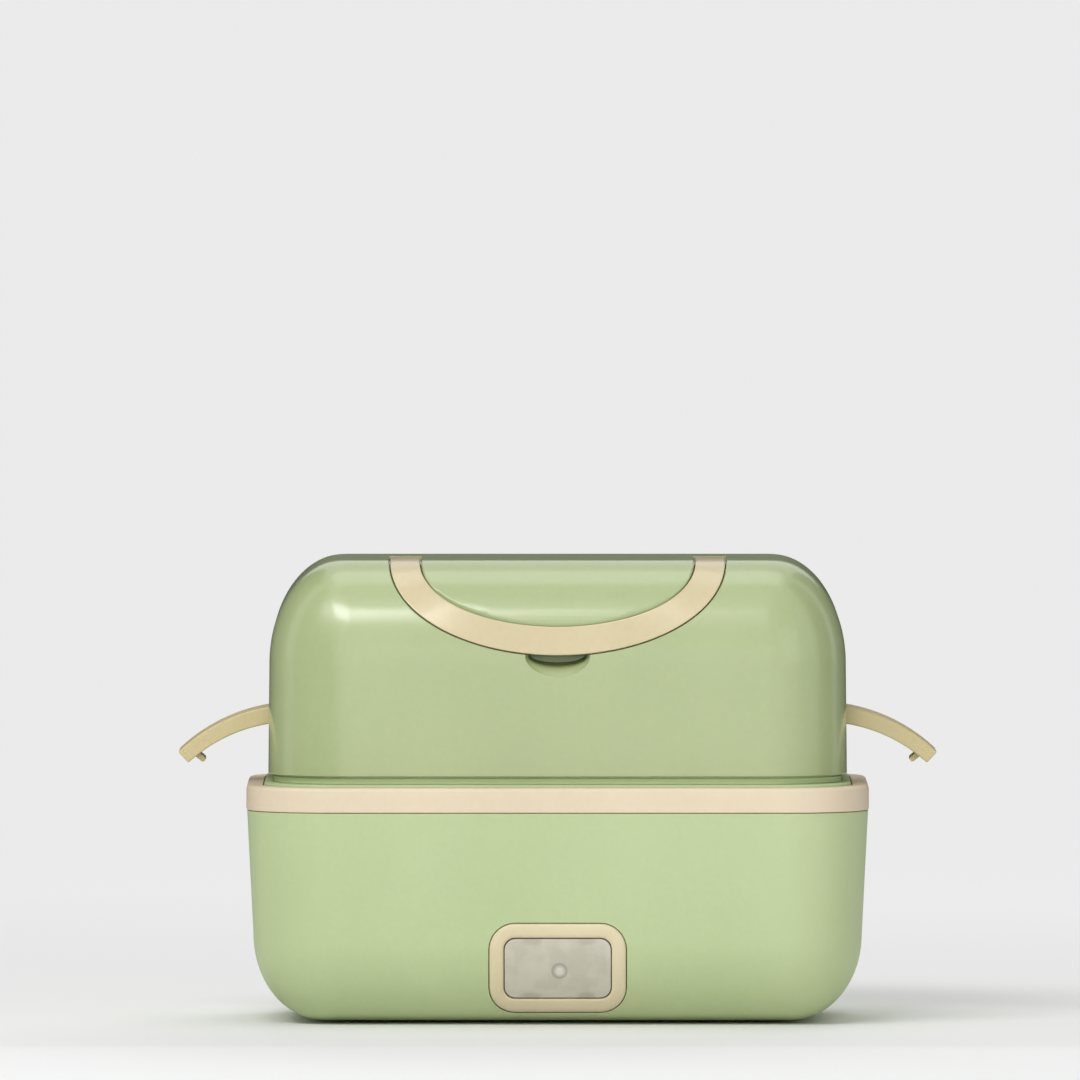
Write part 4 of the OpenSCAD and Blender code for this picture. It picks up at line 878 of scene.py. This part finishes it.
bpy.ops.transform.mirror(constraint_axis=(True, False, False), center_override=(0, 0, 0))
close_up(left)
latch_cream = moulded("latch_cream_satin", paint(209, 194, 147), paint(201, 186, 138), 0.36)
hand_over(latch, latch_cream, "right_latch", "cream", "right_latch")
hand_over(left, latch_cream, "left_latch", "cream", "left_latch")

# Inside the body: the heater under the pan, the board behind the push button, the inlet and the wiring.
# These are bought-in or stamped parts, so each keeps the shape it was drawn with and takes the finish of
# its own stuff.


def plain(name, light, dark, scale, gloss, depth, stretch=(1, 1, 1), **more):
    """A plain workshop finish: two tones in soft patches, with a grain that stands out of the skin"""
    mix = Mix(name)
    patches = mix.cloud(scale, 4, stretch)
    grain = mix.cloud(scale * 14, 2, stretch)
    return mix.done(
        base_color=mix.between((0.7 * patches + 0.3 * grain).step(0.32, 0.68), dark, light),
        roughness=gloss + 0.12 * grain, normal=mix.relief(grain + patches, depth), **more)


def dress(finish, *nodes):
    """Gives drawn parts that stay as they are their finish"""
    for node in nodes:
        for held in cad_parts[node].material_slots:
            held.material = finish


rolled = (0.3, 6, 6)
aluminium = plain("rolled_aluminium", paint(205, 207, 210), paint(186, 188, 192), 70, 0.3, 0.01, rolled,
                  metallic=1.0)
zinc = plain("zinc_plate", paint(196, 197, 192), paint(172, 175, 172), 110, 0.33, 0.008, metallic=1.0)
bright = plain("bright_screw_steel", paint(208, 208, 206), paint(180, 180, 178), 260, 0.24, 0.006,
               metallic=1.0)
brass = plain("brass_pin", paint(212, 186, 112), paint(194, 166, 92), 150, 0.26, 0.006, metallic=1.0)
dress(aluminium, "heater_plate")
dress(zinc, "heater_clamp", "clamp_nuts", "thermostat")
dress(bright, "board_screws", "cover_screws", "liner_screws", "handle_pins", "latch_pins")
dress(brass, "inlet_pins")
dress(plain("heating_stone", paint(92, 86, 82), paint(70, 66, 63), 160, 0.75, 0.03), "ptc_stones")
dress(plain("fuse_sleeve", paint(221, 207, 168), paint(205, 188, 146), 180, 0.5, 0.02), "thermal_fuse")
dress(plain("black_switch_plastic", paint(52, 52, 54), paint(42, 42, 44), 210, 0.45, 0.012),
      "tact_switch", "inlet_socket")
dress(plain("lamp_resin", paint(240, 240, 226), paint(226, 226, 210), 140, 0.25, 0.006), "indicator_leds")
dress(plain("plunger_plastic", paint(236, 236, 230), paint(224, 224, 216), 200, 0.4, 0.01), "switch_plunger")
dress(plain("mains_insulation", paint(176, 44, 34), paint(158, 36, 28), 90, 0.42, 0.008), "mains_wires")
dress(plain("heater_insulation", paint(232, 231, 224), paint(216, 214, 204), 240, 0.55, 0.02), "heater_wires")
dress(plain("seal_rubber", paint(216, 219, 208), paint(204, 208, 196), 190, 0.55, 0.012),
      "rim_seal", "pan_gasket", "lid_seal")
dress(plain("foot_rubber", paint(62, 62, 60), paint(50, 50, 48), 320, 0.8, 0.03), "feet")

board = Mix("printed_board")
threads = {"Vector": board.place(turn=(math.radians(90), 0, 0)), "Scale": 260}
threads |= {"Mortar Size": 0.012, "Mortar Smooth": 0.4}
weave = board.node("ShaderNodeTexBrick", {"offset": 0.5}, threads, out="Fac")
copper = board.cloud(330, 0, (1, 1, 0.35)).step(0.5, 0.53)
mask = board.between(0.5 * copper, paint(38, 92, 58), paint(70, 132, 82))
printed_board = board.done(
    base_color=board.between(0.3 * weave, mask, paint(30, 74, 46)), roughness=0.32 + 0.1 * weave,
    normal=board.relief(copper + 0.4 * weave, 0.02))
dress(printed_board, "circuit_board")

# Underside: a green hatch on four screws, let into the shell's floor. It is the same plastic as the shell,
# with a coarser grain.
dress(moulded("hatch_green_grain", paint(190, 205, 156), paint(181, 196, 147), 0.52, 0.03), "bottom_cover")

# Inside the lid: a liner moulded in the lid's green closes off the space behind the handle's pocket. Four
# screws hold it up in the shell.
dress(moulded("liner_green_satin", paint(186, 201, 150), paint(177, 192, 141), 0.45), "lid_liner")

# Studio: a pale table without an edge, a pale room that only the camera and shiny things see, and soft
# lamps. Cards lie and stand round the table, seen by shiny things alone: white ones light the steel's walls,
# and grey and black ones give it its dark corners.
BACKDROP = (0.83, 0.83, 0.83, 1)
WHITE = (1, 1, 1, 1)
ROOM_LIGHT = 0.35

bpy.ops.object.select_all(action="DESELECT")
bpy.ops.mesh.primitive_grid_add(x_subdivisions=8, y_subdivisions=8, size=60)
table = bpy.context.object
table.name = "studio_table"
top = Mix("pale_table")
shade = top.between(top.cloud(420, 3), (0.88, 0.88, 0.88, 1), (0.9, 0.9, 0.9, 1))
table.data.materials.append(top.done(base_color=shade, roughness=0.9, specular_ior_level=0.1))
seen = top.node("ShaderNodeLightPath", out="Is Camera Ray")
from_box = top.node("ShaderNodeVectorMath", {"operation": "LENGTH"}, {0: top.place()}, out="Value")
glow = top.node("ShaderNodeEmission", {}, {"Color": BACKDROP})
lit = Amount(top, top.shader.outputs["BSDF"])
top.show(top.node("ShaderNodeMixShader", {}, {0: seen * from_box.step(0.3, 1.2), 1: lit, 2: glow}))


class Room(Mix):
    """The light all round the table, mixed as a finish is"""

    def __init__(self, name):
        world = bpy.data.worlds.new(name)
        world.use_nodes = True
        bpy.context.scene.world = world
        self.tree = world.node_tree


room = Room("studio_room")
seen = room.node("ShaderNodeLightPath", out="Is Camera Ray")
for kind in ("Is Glossy Ray", "Is Transmission Ray"):
    also = room.node("ShaderNodeLightPath", out=kind)
    seen = room.node("ShaderNodeMath", {"operation": "MAXIMUM"}, {0: seen, 1: also})
lit = room.node("ShaderNodeBackground", {}, {"Color": WHITE, "Strength": ROOM_LIGHT})
wall = room.node("ShaderNodeBackground", {}, {"Color": BACKDROP})
room.show(room.node("ShaderNodeMixShader", {}, {0: seen, 1: lit, 2: wall}))


def lamp(name, place, aim, wide, high, power):
    """Soft lamp that points at a place on the box"""
    bpy.ops.object.light_add(type="AREA", location=place)
    light = bpy.context.object
    light.name = name
    light.data.shape = "RECTANGLE"
    light.data.size = wide
    light.data.size_y = high
    light.data.energy = power
    light.rotation_euler = (Vector(aim) - Vector(place)).to_track_quat("-Z", "Y").to_euler()
    return light


lamp("wide_light_box", (-0.72, -1.3, 1.5), (0, 0, 0.15), 1.5, 0.45, 19)
lamp("fill_lamp", (1.3, -1.7, 0.6), (0, 0, 0.15), 1.0, 1.0, 2)
lamp("low_lamp", (-0.1, -2.2, 0.45), (0, 0, 0.15), 1.2, 0.5, 7.8).visible_glossy = False
lamp("top_lamp", (0, 0.1, 1.9), (0, 0, 0.1), 1.4, 0.9, 5)
lamp("back_lamp", (0.3, 1.7, 1.1), (0, 0, 0.15), 1.5, 0.8, 13).visible_glossy = False

# One more lamp reaches only the two covers, which would otherwise lie in the shade of the lid and the tier
covers = bpy.data.collections.new("lit_covers")
for cover in (lower_cover, upper_cover):
    covers.objects.link(cover)
cover_lamp = lamp("cover_lamp", (-0.3, -1.4, 1.3), (0, 0, 0.15), 1.2, 1.2, 22)
cover_lamp.visible_glossy = False
cover_lamp.light_linking.receiver_collection = covers
cover_lamp.light_linking.blocker_collection = covers


def card(name, shade, start, end, low, high):
    """Upright card between two places on the table, or a flat one when its low and high are the same"""
    paper = Mix(name)
    paper.show(paper.node("ShaderNodeEmission", {}, {"Color": (shade, shade, shade, 1)}))
    if low == high:
        corners = [(*start, low), (end[0], start[1], low), (*end, low), (start[0], end[1], low)]
    else:
        corners = [(*start, low), (*end, low), (*end, high), (*start, high)]
    piece = draw_line(name, [[place / MM for place in corner] for corner in corners + corners[:1]])
    bpy.ops.mesh.remove_doubles(threshold=MM / 1000)
    bpy.ops.mesh.edge_face_add()
    bpy.ops.object.mode_set(mode="OBJECT")
    piece.data.materials.append(paper.material)
    piece.visible_camera = False
    piece.visible_diffuse = False
    piece.visible_transmission = False
    piece.visible_shadow = False


card("white_card", 1.02, (-0.42, -2.6), (0.9, -0.2), 0.004, 0.004)
card("white_far_card", 1.0, (-0.8, -2.9), (1.6, -2.9), 0, 0.8)
card("grey_near_card", 0.2, (-0.5, -0.2), (0.6, -0.03), 0.005, 0.005)
card("grey_flat_card", 0.16, (-0.62, -1.35), (-0.13, -0.26), 0.006, 0.006)
card("grey_side_card", 0.16, (-0.62, -1.35), (-0.62, -0.05), 0, 1.1)
card("dark_side_card", 0.05, (-0.62, 0.12), (-0.5, 0.9), 0, 1.1)
card("dark_end_card", 0.05, (0.62, -0.12), (0.62, 0.16), 0, 1.1)
card("dark_far_end_card", 0.05, (0.62, 0.3), (0.62, 0.9), 0, 1.1)
card("black_back_card", 0.04, (-0.5, 0.9), (0.62, 0.9), 0, 0.5)

# Camera: straight in front of the box and a little above it, far off with a long lens, as the photograph
# was taken. It frames the whole stack with its pieces lifted apart.
VIEW_X = -0.0068
VIEW_Z = 0.185
VIEW_WIDTH = 0.418
VIEW_DISTANCE = 9.0
VIEW_RISE = math.radians(2)
SENSOR_WIDTH = 36

bpy.ops.object.camera_add(
    location=(VIEW_X, -VIEW_DISTANCE * math.cos(VIEW_RISE), VIEW_Z + VIEW_DISTANCE * math.sin(VIEW_RISE)),
    rotation=(math.radians(90) - VIEW_RISE, 0, 0))
camera = bpy.context.object
camera.data.sensor_width = SENSOR_WIDTH
camera.data.lens = SENSOR_WIDTH * VIEW_DISTANCE / VIEW_WIDTH
camera.data.clip_end = 100
bpy.context.scene.camera = camera
bpy.context.scene.view_settings.view_transform = "Standard"
